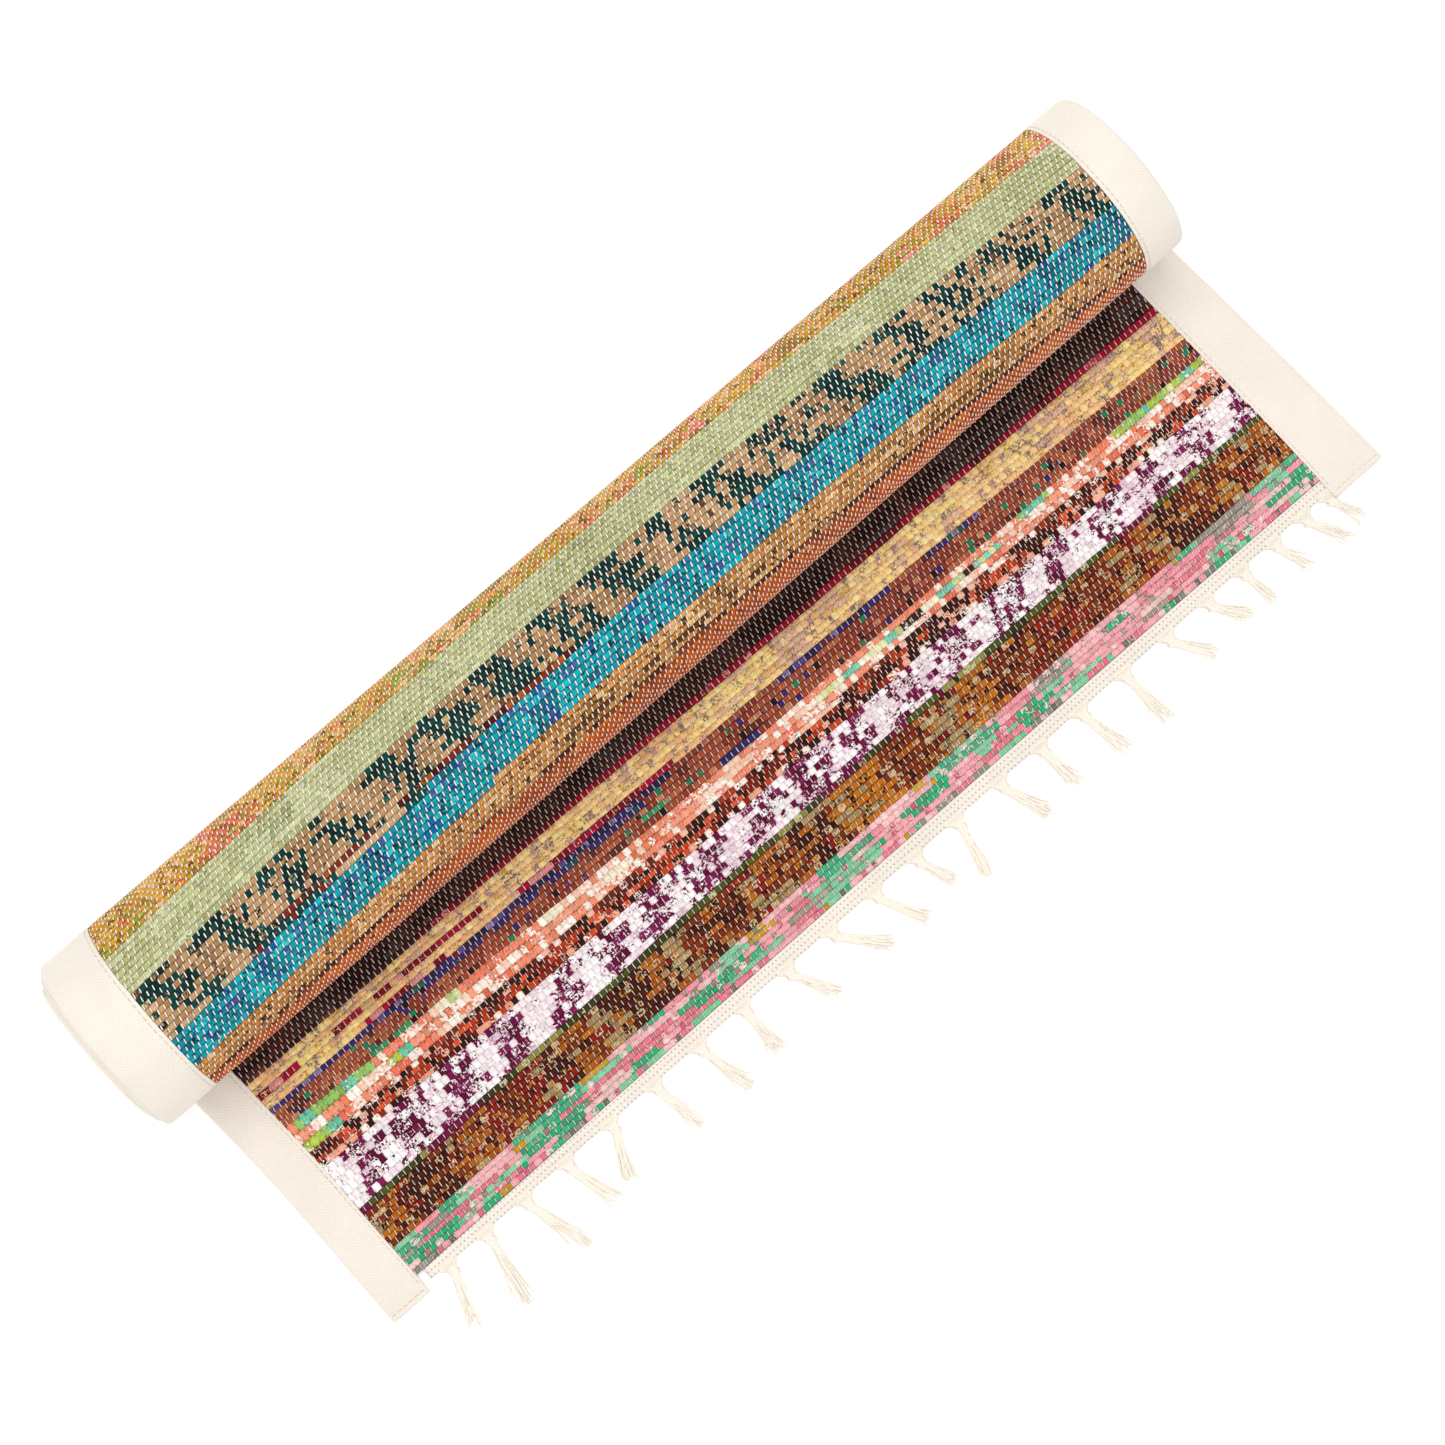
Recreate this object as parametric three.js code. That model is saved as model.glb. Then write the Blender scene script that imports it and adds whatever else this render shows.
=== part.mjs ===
// A handwoven rag-cloth runner rug, rolled up from one end, with its other end left lying flat.
// Sizes are in millimetres. +X points from the roll to the free end, +Y runs across the rug, +Z is up.
//
// The rug is described as if it lay flat, by three numbers:
//   across  the distance from its centre line, along +Y
//   along   the distance from the knots of its free end, which grows towards the roll
//   lift    the height above the middle of the cloth's thickness, on the side one walks on
// onRug() turns these into a point of the rolled-up rug.

import * as THREE from "three";

// ---------- driving sizes ----------

const rugLength = 1830; // from the knots of one end to the knots of the other
const rugWidth = 610;
const clothThickness = 3.1; // a thick rag weft over thin warps
const flatLength = 182; // the part that lies on the floor in front of the roll's lowest line
const bindingWidth = 26; // the folded canvas strip down each long edge
const headerDepth = 9.5; // the plain woven band that locks the rag weft at each end
const layerGap = 0.4; // air between two turns of the roll
const partGap = 0.3; // air between two pieces that touch on the real rug

// ---------- sizes that follow ----------

const bindingWall = 0.45; // one layer of canvas
const selvedgeThickness = clothThickness - 2 * (bindingWall + partGap); // the cloth's pressed edge
const headerThickness = 2;
const fanDepth = 4; // bare warps between the header and the knots
const headerStart = fanDepth;
const headerEnd = headerStart + headerDepth;
const clothStart = headerEnd + partGap;

const bindingInside = rugWidth / 2 - bindingWidth;
const clothHalfWidth = bindingInside - partGap;
const selvedgeHalfWidth = rugWidth / 2 - bindingWall - partGap;

// The warps are knotted in bundles. Each number is the pairs of warps in one bundle, from -Y to +Y.
const bundles = [6, 7, 7, 8, 8, 8, 8, 8, 8, 8, 8, 7, 8, 8, 7, 8, 8, 8, 7, 6, 6, 5, 4];
const tailLeans = [-19, -10, 15, 14, -25, 10, 13, -1, 30, 42, 25, 20, -14, 20, 4, 11, 4, 32, 37, 6, 17, 30, 20];
const tailLengths = [26, 33, 32, 25, 23, 24, 26, 22, 23, 26, 24, 18, 25, 24, 21, 25, 26, 21, 19, 17, 17, 22, 16];
const warpPairs = bundles.reduce((sum, pairs) => sum + pairs, 0);
const pairWidth = (2 * clothHalfWidth) / warpPairs;

// ---------- the roll ----------

// Each turn adds one pitch to the radius, so the cloth's length times the pitch is the area of the roll's end.
const pitch = clothThickness + layerGap;
const rolledLength = rugLength - flatLength;
const tailTipRadius = 3.5; // the hollow left inside the curled tassels of the rolled-up end
const wantedCore = Math.sqrt(tailTipRadius ** 2 + (Math.max(...tailLengths) * pitch) / Math.PI);
const wantedOutside = Math.sqrt(wantedCore ** 2 + (rolledLength * pitch) / Math.PI);

// A whole number of steps keeps the corners of all turns on the same spokes, so that flat facets nest.
const stepsPerTurn = 15;
const finerTurns = 1; // the outermost turn has twice the steps
const turns = Math.round(((wantedOutside - wantedCore) / pitch) * stepsPerTurn) / stepsPerTurn;
const outerRadius = (rolledLength / (Math.PI * turns) + pitch * turns) / 2;
const axisHeight = outerRadius + clothThickness / 2;

// The free end bends up along a line just in front of the roll.
const bendClearance = 5;
const bendLine = outerRadius + clothThickness / 2 + bendClearance; // its distance from the roll's axis, in X
const bendAlong = flatLength - bendLine;

function radiusAt(along) {
  return Math.sqrt(outerRadius ** 2 - ((along - flatLength) * pitch) / Math.PI);
}

function alongAtTurn(turn) {
  const radius = outerRadius - pitch * turn;
  return flatLength + ((outerRadius ** 2 - radius ** 2) * Math.PI) / pitch;
}

// The middle of the cloth at a distance along the rug, and the direction out of the side one walks on.
function rugFrame(along) {
  if (along <= flatLength) {
    return {
      middle: new THREE.Vector3(flatLength - along, 0, clothThickness / 2),
      up: new THREE.Vector3(0, 0, 1),
    };
  }
  const radius = radiusAt(along);
  const turned = ((outerRadius - radius) / pitch) * 2 * Math.PI;
  const up = new THREE.Vector3(Math.sin(turned), 0, Math.cos(turned));
  const middle = new THREE.Vector3(0, 0, axisHeight).addScaledVector(up, -radius);
  return { middle, up };
}

function onRug(across, along, lift) {
  const { middle, up } = rugFrame(along);
  return middle.addScaledVector(up, lift).setY(across);
}

// The corners of the rolled turns, as distances along the rug.
function spokeDistances() {
  const distances = [];
  const steps = Math.round(turns * stepsPerTurn);
  for (let step = 0; step <= steps; step += step < finerTurns * stepsPerTurn ? 0.5 : 1) {
    distances.push(alongAtTurn(step / stepsPerTurn));
  }
  return distances;
}

const spokes = spokeDistances();

// A stretch of the rug's length as a curve. Its steps fall on the spokes of the roll.
class RugPath extends THREE.Curve {
  constructor(from, to) {
    super();
    const nearest = 0.5; // a spoke closer than this to an end would make a sliver
    const between = spokes.filter((spoke) => spoke > from + nearest && spoke < to - nearest);
    this.stations = [from, ...between, to];
  }

  get steps() {
    return this.stations.length - 1;
  }

  along(t) {
    const whole = Math.min(Math.floor(t * this.steps), this.steps - 1);
    return THREE.MathUtils.lerp(this.stations[whole], this.stations[whole + 1], t * this.steps - whole);
  }

  getUtoTmapping(u) {
    return u;
  }

  getPoint(t) {
    return rugFrame(this.along(t)).middle;
  }

  // A section drawn in X and Y is swept with its X across the rug and its Y towards the underside.
  computeFrenetFrames(steps) {
    const frames = { tangents: [], normals: [], binormals: [] };
    for (let step = 0; step <= steps; step += 1) {
      const across = new THREE.Vector3(0, 1, 0);
      const under = rugFrame(this.along(step / steps)).up.negate();
      frames.normals.push(across);
      frames.binormals.push(under);
      frames.tangents.push(new THREE.Vector3().crossVectors(across, under));
    }
    return frames;
  }
}

function sweepAlongRug(section, from, to) {
  const path = new RugPath(from, to);
  return new THREE.ExtrudeGeometry(section, { steps: path.steps, extrudePath: path });
}

// ---------- sections across the rug ----------

function closedShape(points) {
  return new THREE.Shape(points.map(([x, y]) => new THREE.Vector2(x, y)));
}

// A band of cloth with a thin selvedge on each side. "over" and "under" are measured from its middle.
function bandSection(over, under, selvedgeOver, selvedgeUnder) {
  const right = [
    [clothHalfWidth, under],
    [clothHalfWidth, selvedgeUnder],
    [selvedgeHalfWidth, selvedgeUnder],
    [selvedgeHalfWidth, -selvedgeOver],
    [clothHalfWidth, -selvedgeOver],
    [clothHalfWidth, -over],
  ];
  const left = right.map(([x, y]) => [-x, y]).reverse();
  return closedShape([...right, ...left]);
}

function clothSection() {
  const half = clothThickness / 2;
  return bandSection(half, half, selvedgeThickness / 2, selvedgeThickness / 2);
}

// The header is thinner than the cloth and shares its underside.
function headerSection() {
  const under = clothThickness / 2;
  const over = headerThickness - under;
  return bandSection(over, under, over, selvedgeThickness / 2);
}

// A canvas strip folded over the selvedge: two walls and the fold that joins them.
function bindingSection(side) {
  const half = clothThickness / 2;
  const inner = half - bindingWall;
  const fold = rugWidth / 2;
  const points = [
    [bindingInside, half],
    [fold, half],
    [fold, -half],
    [bindingInside, -half],
    [bindingInside, -inner],
    [fold - bindingWall, -inner],
    [fold - bindingWall, inner],
    [bindingInside, inner],
  ];
  return closedShape(points.map(([x, y]) => [side * x, y]));
}

// ---------- tassels ----------

const yarnWidth = 3.4; // the warps of one bundle drawn together
const knotWidth = 6.2;
const freeKnotHeight = 4.4;
const tailWidth = 6.2; // at the loose tip
const tasselSides = 6;

// The tassel's rings from the header to the tip: distance before (+) or beyond (-) the knot, width, height.
// A curled tail has more rings than a straight one.
function tasselRings(bundleWidth, tailLength, knotHeight, tailSteps) {
  const yarnHeight = clothThickness * 0.75;
  const tipHeight = clothThickness * 0.6;
  const tailStart = knotWidth * 0.75;
  const fan = [
    { from: fanDepth - partGap, width: bundleWidth - 2 * partGap, height: clothThickness * 0.5 },
    { from: fanDepth / 2, width: (bundleWidth + yarnWidth) / 2, height: clothThickness * 0.6 },
  ];
  const knot = [
    { from: 0, width: knotWidth, height: knotHeight },
    { from: -knotWidth / 2, width: knotWidth * 0.8, height: knotHeight * 0.8 },
  ];
  const tail = Array.from({ length: tailSteps + 1 }, (_, step) => ({
    from: -THREE.MathUtils.lerp(tailStart, tailLength, step / tailSteps),
    width: THREE.MathUtils.lerp(yarnWidth, tailWidth, step / tailSteps),
    height: THREE.MathUtils.lerp(yarnHeight, tipHeight, step / tailSteps),
  }));
  return [...fan, ...knot, ...tail];
}

// One tassel: a fan of warps, an overhand knot and a tail that leans to one side on the floor.
// A closed cylinder is shaped ring by ring. The rolled-up end is the free end turned half round.
function tasselGeometry(index, rolledUp) {
  const before = bundles.slice(0, index).reduce((sum, pairs) => sum + pairs, 0);
  const middle = -clothHalfWidth + (before + bundles[index] / 2) * pairWidth;
  const lean = THREE.MathUtils.degToRad(tailLeans[index]);
  const knotHeight = rolledUp ? clothThickness : freeKnotHeight; // a rolled-up knot is pressed flat
  const tailSteps = rolledUp ? 8 : 2;
  const rings = tasselRings(bundles[index] * pairWidth, tailLengths[index], knotHeight, tailSteps);

  const last = rings.length - 1;
  const geometry = new THREE.CylinderGeometry(1, 1, 1, tasselSides, last);
  const position = geometry.getAttribute("position");
  for (let i = 0; i < position.count; i += 1) {
    const ring = rings[Math.round((0.5 - position.getY(i)) * last)];
    const turn = ring.from < 0 ? lean : 0;
    const side = (position.getX(i) * ring.width) / 2;
    const across = middle - ring.from * Math.sin(turn) + side * Math.cos(turn);
    const along = ring.from * Math.cos(turn) + side * Math.sin(turn);
    const lift = ((position.getZ(i) + 1) * ring.height) / 2 - clothThickness / 2;
    const point = rolledUp ? onRug(-across, rugLength - along, lift) : onRug(across, along, lift);
    position.setXYZ(i, ...point);
  }
  return geometry;
}

// ---------- pieces ----------

const cream = 0xf6ecd9;
const rug = new THREE.Group();

function addPiece(name, geometry, color, roughness) {
  const material = new THREE.MeshStandardMaterial({ color, roughness, metalness: 0 });
  const piece = new THREE.Mesh(geometry, material);
  piece.name = name;
  rug.add(piece);
}

// The rag-woven ground, in two lengths that meet at the bend line.
function addGround() {
  addPiece("woven_ground_roll", sweepAlongRug(clothSection(), bendAlong, rugLength - clothStart), 0x9a8152, 0.95);
  addPiece("woven_ground_free_end", sweepAlongRug(clothSection(), clothStart, bendAlong - partGap), 0xa8705a, 0.95);
}

function addBindings() {
  for (const [name, side] of [["left", -1], ["right", 1]]) {
    const section = bindingSection(side);
    addPiece(`${name}_binding_roll`, sweepAlongRug(section, bendAlong, rugLength), cream, 0.9);
    addPiece(`${name}_binding_free_end`, sweepAlongRug(section, 0, bendAlong - partGap), cream, 0.9);
  }
}

function addHeaders() {
  const section = headerSection();
  addPiece("free_end_header", sweepAlongRug(section, headerStart, headerEnd), 0xf3e6cc, 0.9);
  addPiece("inner_end_header", sweepAlongRug(section, rugLength - headerEnd, rugLength - headerStart), 0xf3e6cc, 0.9);
}

function addTassels() {
  bundles.forEach((_, index) => {
    const number = String(index + 1).padStart(2, "0");
    addPiece(`free_end_tassel_${number}`, tasselGeometry(index, false), cream, 0.95);
    addPiece(`inner_end_tassel_${number}`, tasselGeometry(index, true), cream, 0.95);
  });
}

addGround();
addBindings();
addHeaders();
addTassels();

// The part's frame: the origin is the middle of the bottom of its bounding box.
const box = new THREE.Box3().setFromObject(rug);
const toOrigin = box.getCenter(new THREE.Vector3()).setZ(box.min.z).negate();
rug.children.forEach((piece) => piece.geometry.translate(...toOrigin));

export default rug;
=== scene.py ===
# %% [markdown]
# # A hand-woven rag runner, half rolled up
#
# The runner is a flat woven cloth with a cotton band sewn round each long edge, a narrow cotton
# heading at each end, and the warps knotted into tassels. Most of it is rolled up, and the last hand's
# width lies flat on the floor.
#
# Everything here is first made lying flat, as the weaver made it, and then rolled up by one rule. So a
# stripe is straight when it is drawn, and it is the roll that bends it.

import math

import bpy
import numpy as np
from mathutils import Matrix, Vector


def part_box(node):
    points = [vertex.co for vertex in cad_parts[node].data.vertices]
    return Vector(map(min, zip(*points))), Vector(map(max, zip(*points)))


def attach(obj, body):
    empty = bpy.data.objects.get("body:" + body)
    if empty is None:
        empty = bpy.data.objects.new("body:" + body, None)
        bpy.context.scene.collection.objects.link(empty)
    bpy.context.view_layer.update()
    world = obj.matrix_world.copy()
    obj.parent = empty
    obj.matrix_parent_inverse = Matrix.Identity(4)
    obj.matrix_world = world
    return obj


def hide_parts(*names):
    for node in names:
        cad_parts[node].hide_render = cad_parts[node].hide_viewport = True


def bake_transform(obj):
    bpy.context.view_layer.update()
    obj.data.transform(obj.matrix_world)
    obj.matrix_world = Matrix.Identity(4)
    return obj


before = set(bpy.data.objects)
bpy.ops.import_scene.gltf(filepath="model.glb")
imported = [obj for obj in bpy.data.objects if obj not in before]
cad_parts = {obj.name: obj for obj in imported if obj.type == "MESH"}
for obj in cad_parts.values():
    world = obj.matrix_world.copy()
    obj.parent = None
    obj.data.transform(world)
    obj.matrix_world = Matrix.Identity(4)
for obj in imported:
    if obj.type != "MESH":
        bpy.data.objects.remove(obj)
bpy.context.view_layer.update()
MM = 0.001

# %% [markdown]
# ## The rug's own coordinates
#
# A point of the rug is told by three numbers: how far it is *across* from the middle, how far *along*
# from the knots of the free end, and how high it is *lifted* above the middle of the cloth. The rolled
# part is a spiral: each turn is one cloth thickness, and a little air, smaller than the last.

# %% Driving sizes
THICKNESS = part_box("woven_ground_free_end")[1].z
HALF_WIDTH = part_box("right_binding_free_end")[1].y
FAN = 4 * MM  # bare warps between the heading and the knots
KNOTS_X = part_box("free_end_header")[1].x + FAN
RUG_LENGTH = 1830 * MM
FLAT = 178.5 * MM  # lies on the floor; beyond this the rug is rolled up
LOOSE = 0.6 * MM  # hand-rolled cloth lies a little looser than the plain solid
PITCH = 3.59 * MM  # from one turn of the roll to the next
ROLL_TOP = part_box("woven_ground_roll")[1].z
OUTER_RADIUS = (ROLL_TOP - THICKNESS + PITCH / 2) / 2 + LOOSE
TAPER = 0.031  # the roll is this share fatter at its left end, and thinner at its right

# %% [markdown]
# The rug was not rolled up square. The roll sits a little to the left of the free end, and the right
# edge runs in more than the left one. `sideways` says how far a point is carried to the left.

# %% How the edges run
LEFT_RUN = 14 * MM
RIGHT_RUN = 17.5 * MM
LEFT_SPAN = (60 * MM, 320 * MM)  # from where to where along the rug the left edge runs in
RIGHT_SPAN = (-50 * MM, 240 * MM)
START_SHIFT = 7 * MM  # half the run, so that free end and roll share the offset
INNER_SLIDE = 3 * MM  # the inner turns stick out this far at the left end of the roll
SLIDE_SPAN = (440 * MM, 700 * MM)


def smooth(value, start, end):
    """0 before start, 1 after end, and an S-curve between."""
    share = np.clip((value - start) / (end - start), 0, 1)
    return share * share * (3 - 2 * share)


def sideways(across, along):
    left_run = LEFT_RUN * smooth(along, *LEFT_SPAN)
    right_run = RIGHT_RUN * smooth(along, *RIGHT_SPAN)
    share = (across / HALF_WIDTH + 1) / 2
    slid = INNER_SLIDE * smooth(along, *SLIDE_SPAN)
    return START_SHIFT - slid - left_run * (1 - share) - right_run * share


def flat_points(across, along, lift):
    """Points of the rug while it still lies flat, as rows of x, y, z."""
    across, along, lift = np.broadcast_arrays(across, along, lift)
    x = KNOTS_X - along
    y = across + sideways(across, along)
    z = THICKNESS / 2 + lift
    return np.stack([x, y, z], axis=-1).reshape(-1, 3)


def wander(positions, step, seed, swing=1.0):
    """A smooth random line: one random value each step, joined softly. The same seed gives the same line."""
    positions = np.asarray(positions, float)
    first = math.floor(positions.min() / step) - 1
    count = math.ceil(positions.max() / step) - first + 3
    values = np.random.default_rng(seed).uniform(-swing, swing, count)
    place = positions / step - first
    before = np.floor(place).astype(int)
    share = place - before
    share = share * share * (3 - 2 * share)
    return values[before] * (1 - share) + values[before + 1] * share


# %% [markdown]
# ## One function for every node
#
# Shader trees and geometry trees are built alike: a node is added with its settings, and its inputs get
# either a number or a link. Inputs are filled in order, and only the ones that the node's settings show.
# Where a value goes through several sums in a row, `chain` adds their nodes one after another.

# %% Adding a node


def add(tree, kind, *inputs, named=(), **settings):
    """Adds one node. An input is a value, a node, a socket, or None to leave it alone."""
    node = tree.nodes.new(kind)
    for key, value in settings.items():
        setattr(node, key, value)
    shown = [socket for socket in node.inputs if socket.enabled]
    pairs = list(zip(shown, inputs)) + [(node.inputs[key], value) for key, value in dict(named).items()]
    for socket, value in pairs:
        if isinstance(value, bpy.types.Node):
            value = next(output for output in value.outputs if output.enabled)
        if isinstance(value, bpy.types.NodeSocket):
            tree.links.new(value, socket)
        elif value is not None:
            socket.default_value = value
    return node


MATH = "ShaderNodeMath"


def chain(tree, kind, value, *steps):
    """Takes a value through one node after another. A step is an operation and the inputs it needs."""
    for operation, *inputs in steps:
        value = add(tree, kind, value, *inputs, operation=operation)
    return value


def new_geometry_tree(name, sizes):
    """An empty tree with a Geometry, the named sizes and a Material as its inputs."""
    tree = bpy.data.node_groups.new(name, "GeometryNodeTree")
    tree.interface.new_socket("Geometry", in_out="INPUT", socket_type="NodeSocketGeometry")
    for size in sizes:
        tree.interface.new_socket(size, in_out="INPUT", socket_type="NodeSocketFloat")
    tree.interface.new_socket("Material", in_out="INPUT", socket_type="NodeSocketMaterial")
    tree.interface.new_socket("Geometry", in_out="OUTPUT", socket_type="NodeSocketGeometry")
    return tree, tree.nodes.new("NodeGroupInput")


def end_geometry_tree(tree, group_in, geometry):
    real = add(tree, "GeometryNodeRealizeInstances", geometry)
    done = add(tree, "GeometryNodeSetMaterial", real, None, group_in.outputs["Material"])
    add(tree, "NodeGroupOutput", done)
    return tree


# %% [markdown]
# ## The rule that rolls the rug up
#
# On the flat part nothing moves. Beyond it, the length of cloth used up so far says how many turns have
# been made, and so how small the radius has become: the area of the ring that is filled with cloth is
# its length times the pitch. `roll_up` moves every point of a flat piece on to that spiral. It is a
# Geometry Nodes tree because the same rule rolls up the cloth, the bands, the stitches and the tassels.

# %% The roll_up tree
ROLL_SIZES = {
    "Knots X": KNOTS_X,
    "Flat Length": FLAT,
    "Outer Radius": OUTER_RADIUS,
    "Pitch": PITCH,
    "Thickness": THICKNESS,
    "Taper": TAPER,
    "Half Width": HALF_WIDTH,
}
CORE_LEFT = 1e-6  # keeps the square root real at the very heart of the roll


def build_roll_up():
    tree, sizes = new_geometry_tree("roll_up", ROLL_SIZES)
    knots, flat, outer, pitch, thick, taper, half = [sizes.outputs[name] for name in ROLL_SIZES]
    x, y, z = add(tree, "ShaderNodeSeparateXYZ", add(tree, "GeometryNodeInputPosition")).outputs
    along = chain(tree, MATH, knots, ("SUBTRACT", x))
    on_floor = chain(tree, MATH, along, ("MINIMUM", flat))
    used = chain(tree, MATH, along, ("SUBTRACT", on_floor), ("MULTIPLY", pitch), ("DIVIDE", math.pi))
    square = chain(tree, MATH, outer, ("MULTIPLY", outer), ("SUBTRACT", used))
    radius = chain(tree, MATH, square, ("MAXIMUM", CORE_LEFT), ("SQRT",))
    angle = chain(tree, MATH, outer, ("SUBTRACT", radius), ("DIVIDE", pitch), ("MULTIPLY", 2 * math.pi))

    narrowing = chain(tree, MATH, y, ("DIVIDE", half), ("MULTIPLY", taper))
    scale = chain(tree, MATH, 1.0, ("SUBTRACT", narrowing))
    middle = chain(tree, MATH, thick, ("MULTIPLY", 0.5))
    lift = chain(tree, MATH, z, ("SUBTRACT", middle))
    reach = chain(tree, MATH, radius, ("MULTIPLY", scale), ("SUBTRACT", lift))
    back = chain(tree, MATH, angle, ("SINE",), ("MULTIPLY", reach))
    drop = chain(tree, MATH, angle, ("COSINE",), ("MULTIPLY", reach))
    new_x = chain(tree, MATH, knots, ("SUBTRACT", on_floor), ("SUBTRACT", back))
    new_z = chain(tree, MATH, outer, ("MULTIPLY", scale), ("ADD", middle), ("SUBTRACT", drop))
    rolled = add(tree, "ShaderNodeCombineXYZ", new_x, y, new_z)
    moved = add(tree, "GeometryNodeSetPosition", sizes.outputs["Geometry"], None, rolled)
    return end_geometry_tree(tree, sizes, moved)


roll_up = build_roll_up()
print("roll_up has", len(roll_up.nodes), "nodes")

# %% Running a tree on a piece


def new_object(name, data):
    made = bpy.data.objects.new(name, data)
    bpy.context.scene.collection.objects.link(made)
    return made


def mesh_object(name, points, edges=(), faces=()):
    mesh = bpy.data.meshes.new(name)
    whole_faces = [[int(point) for point in face] for face in faces]
    mesh.from_pydata(np.asarray(points).tolist(), list(edges), whole_faces)
    return new_object(name, mesh)


def run_trees(start, name, steps, material):
    """Puts each (tree, sizes) on the start object as a modifier, and returns the result as a plain mesh."""
    for tree, sizes in steps:
        modifier = start.modifiers.new(tree.name, "NODES")
        modifier.node_group = tree
        for item in tree.interface.items_tree:
            if item.in_out == "INPUT" and item.name in sizes:
                modifier[item.identifier] = sizes[item.name]
            if item.in_out == "INPUT" and item.name == "Material":
                modifier[item.identifier] = material
    bpy.context.view_layer.update()
    depsgraph = bpy.context.evaluated_depsgraph_get()
    mesh = bpy.data.meshes.new_from_object(start.evaluated_get(depsgraph), depsgraph=depsgraph)
    start.modifiers.clear()
    bpy.data.objects.remove(start)
    mesh.name = name
    mesh.materials.clear()
    mesh.materials.append(material)
    mesh.shade_smooth()
    return new_object(name, mesh)


def rolled(start, name, material, *steps_before):
    return run_trees(start, name, [*steps_before, (roll_up, ROLL_SIZES)], material)


# %% [markdown]
# ## Colours
#
# A dyer's chart is written in sRGB, which is how a screen shows a colour. The renderer adds light up, so
# it needs the linear value.

# %% From a chart colour to a linear one


def dye(chart_colour):
    """An sRGB hex value as linear red, green and blue."""
    parts = [int(chart_colour[start:start + 2], 16) / 255 for start in (0, 2, 4)]
    return tuple(part / 12.92 if part <= 0.04045 else ((part + 0.055) / 1.055) ** 2.4 for part in parts)


def opaque(chart_colour):
    return (*dye(chart_colour), 1.0)


# %% [markdown]
# ## The stripes
#
# The weaver beats in strips torn from printed cotton, one strip for each pick. A stripe is a few picks
# from the same bundle of cloth, so it has a few ground colours, and sometimes a print: bits smaller than
# a cell, or large blotches that come back as the print repeats. Each stripe says how many picks it has,
# where it ends near the left edge, in the middle and near the right edge, and what its cloth looks like.
# Where a strip ran out in the middle of a pick and another was laid in, the stripe has a splice.

# %% The list of stripes
LEFT_MARK, RIGHT_MARK = -235 * MM, 210 * MM  # where the ends of the stripes were measured


def stripe(picks, ends, rags, run=14, blotches=None, bits=None, splices=()):
    """ends: mm along, near the left edge, in the middle and near the right edge, or one number for all.
    rags: each colour and its share. run: how far one colour runs, in mm.
    blotches: colours, share of the stripe, repeat in mm, slant, how full a cell is, from and to.
    bits: colours, share of the cells, how full.
    splices: first and last mm across, first and last pick, and the rags laid in there."""
    ends = ends if isinstance(ends, tuple) else (ends, ends, ends)
    return {"picks": picks, "ends": ends, "rags": rags, "run": run, "blotches": blotches, "bits": bits,
            "splices": splices}


def recipe(rags):
    """Splits rags such as "E07A8E 3, F2A9B2 2.4" into colours and shares."""
    colours, shares = zip(*[rag.split() for rag in rags.split(",")])
    return np.array([dye(colour) for colour in colours]), [float(share) for share in shares]


LIME = "A9C04C 4, 8FBC62 2, 6CC0A0 1.6, DDE0A0 1"
MINT = "E4E6B4 3, BFD08A 2, 7CC8AC 2.4, F4ECD0 2, 3A2A20 0.4"
CRIMSON = "A31E36 5, 7C1426 2, D98A8A 1.2, E2B27E 1"
BRICK = "9A4A35 5, 86392B 4, A85A3C 2, 5E2A22 1.6"
TURQUOISE = "0096A6 5, 008494 4, 06A4B0 2.5, 00667C 2, 14609A 0.7"
WHITE_BITS = "FBE9DC FFF4EA"

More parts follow.
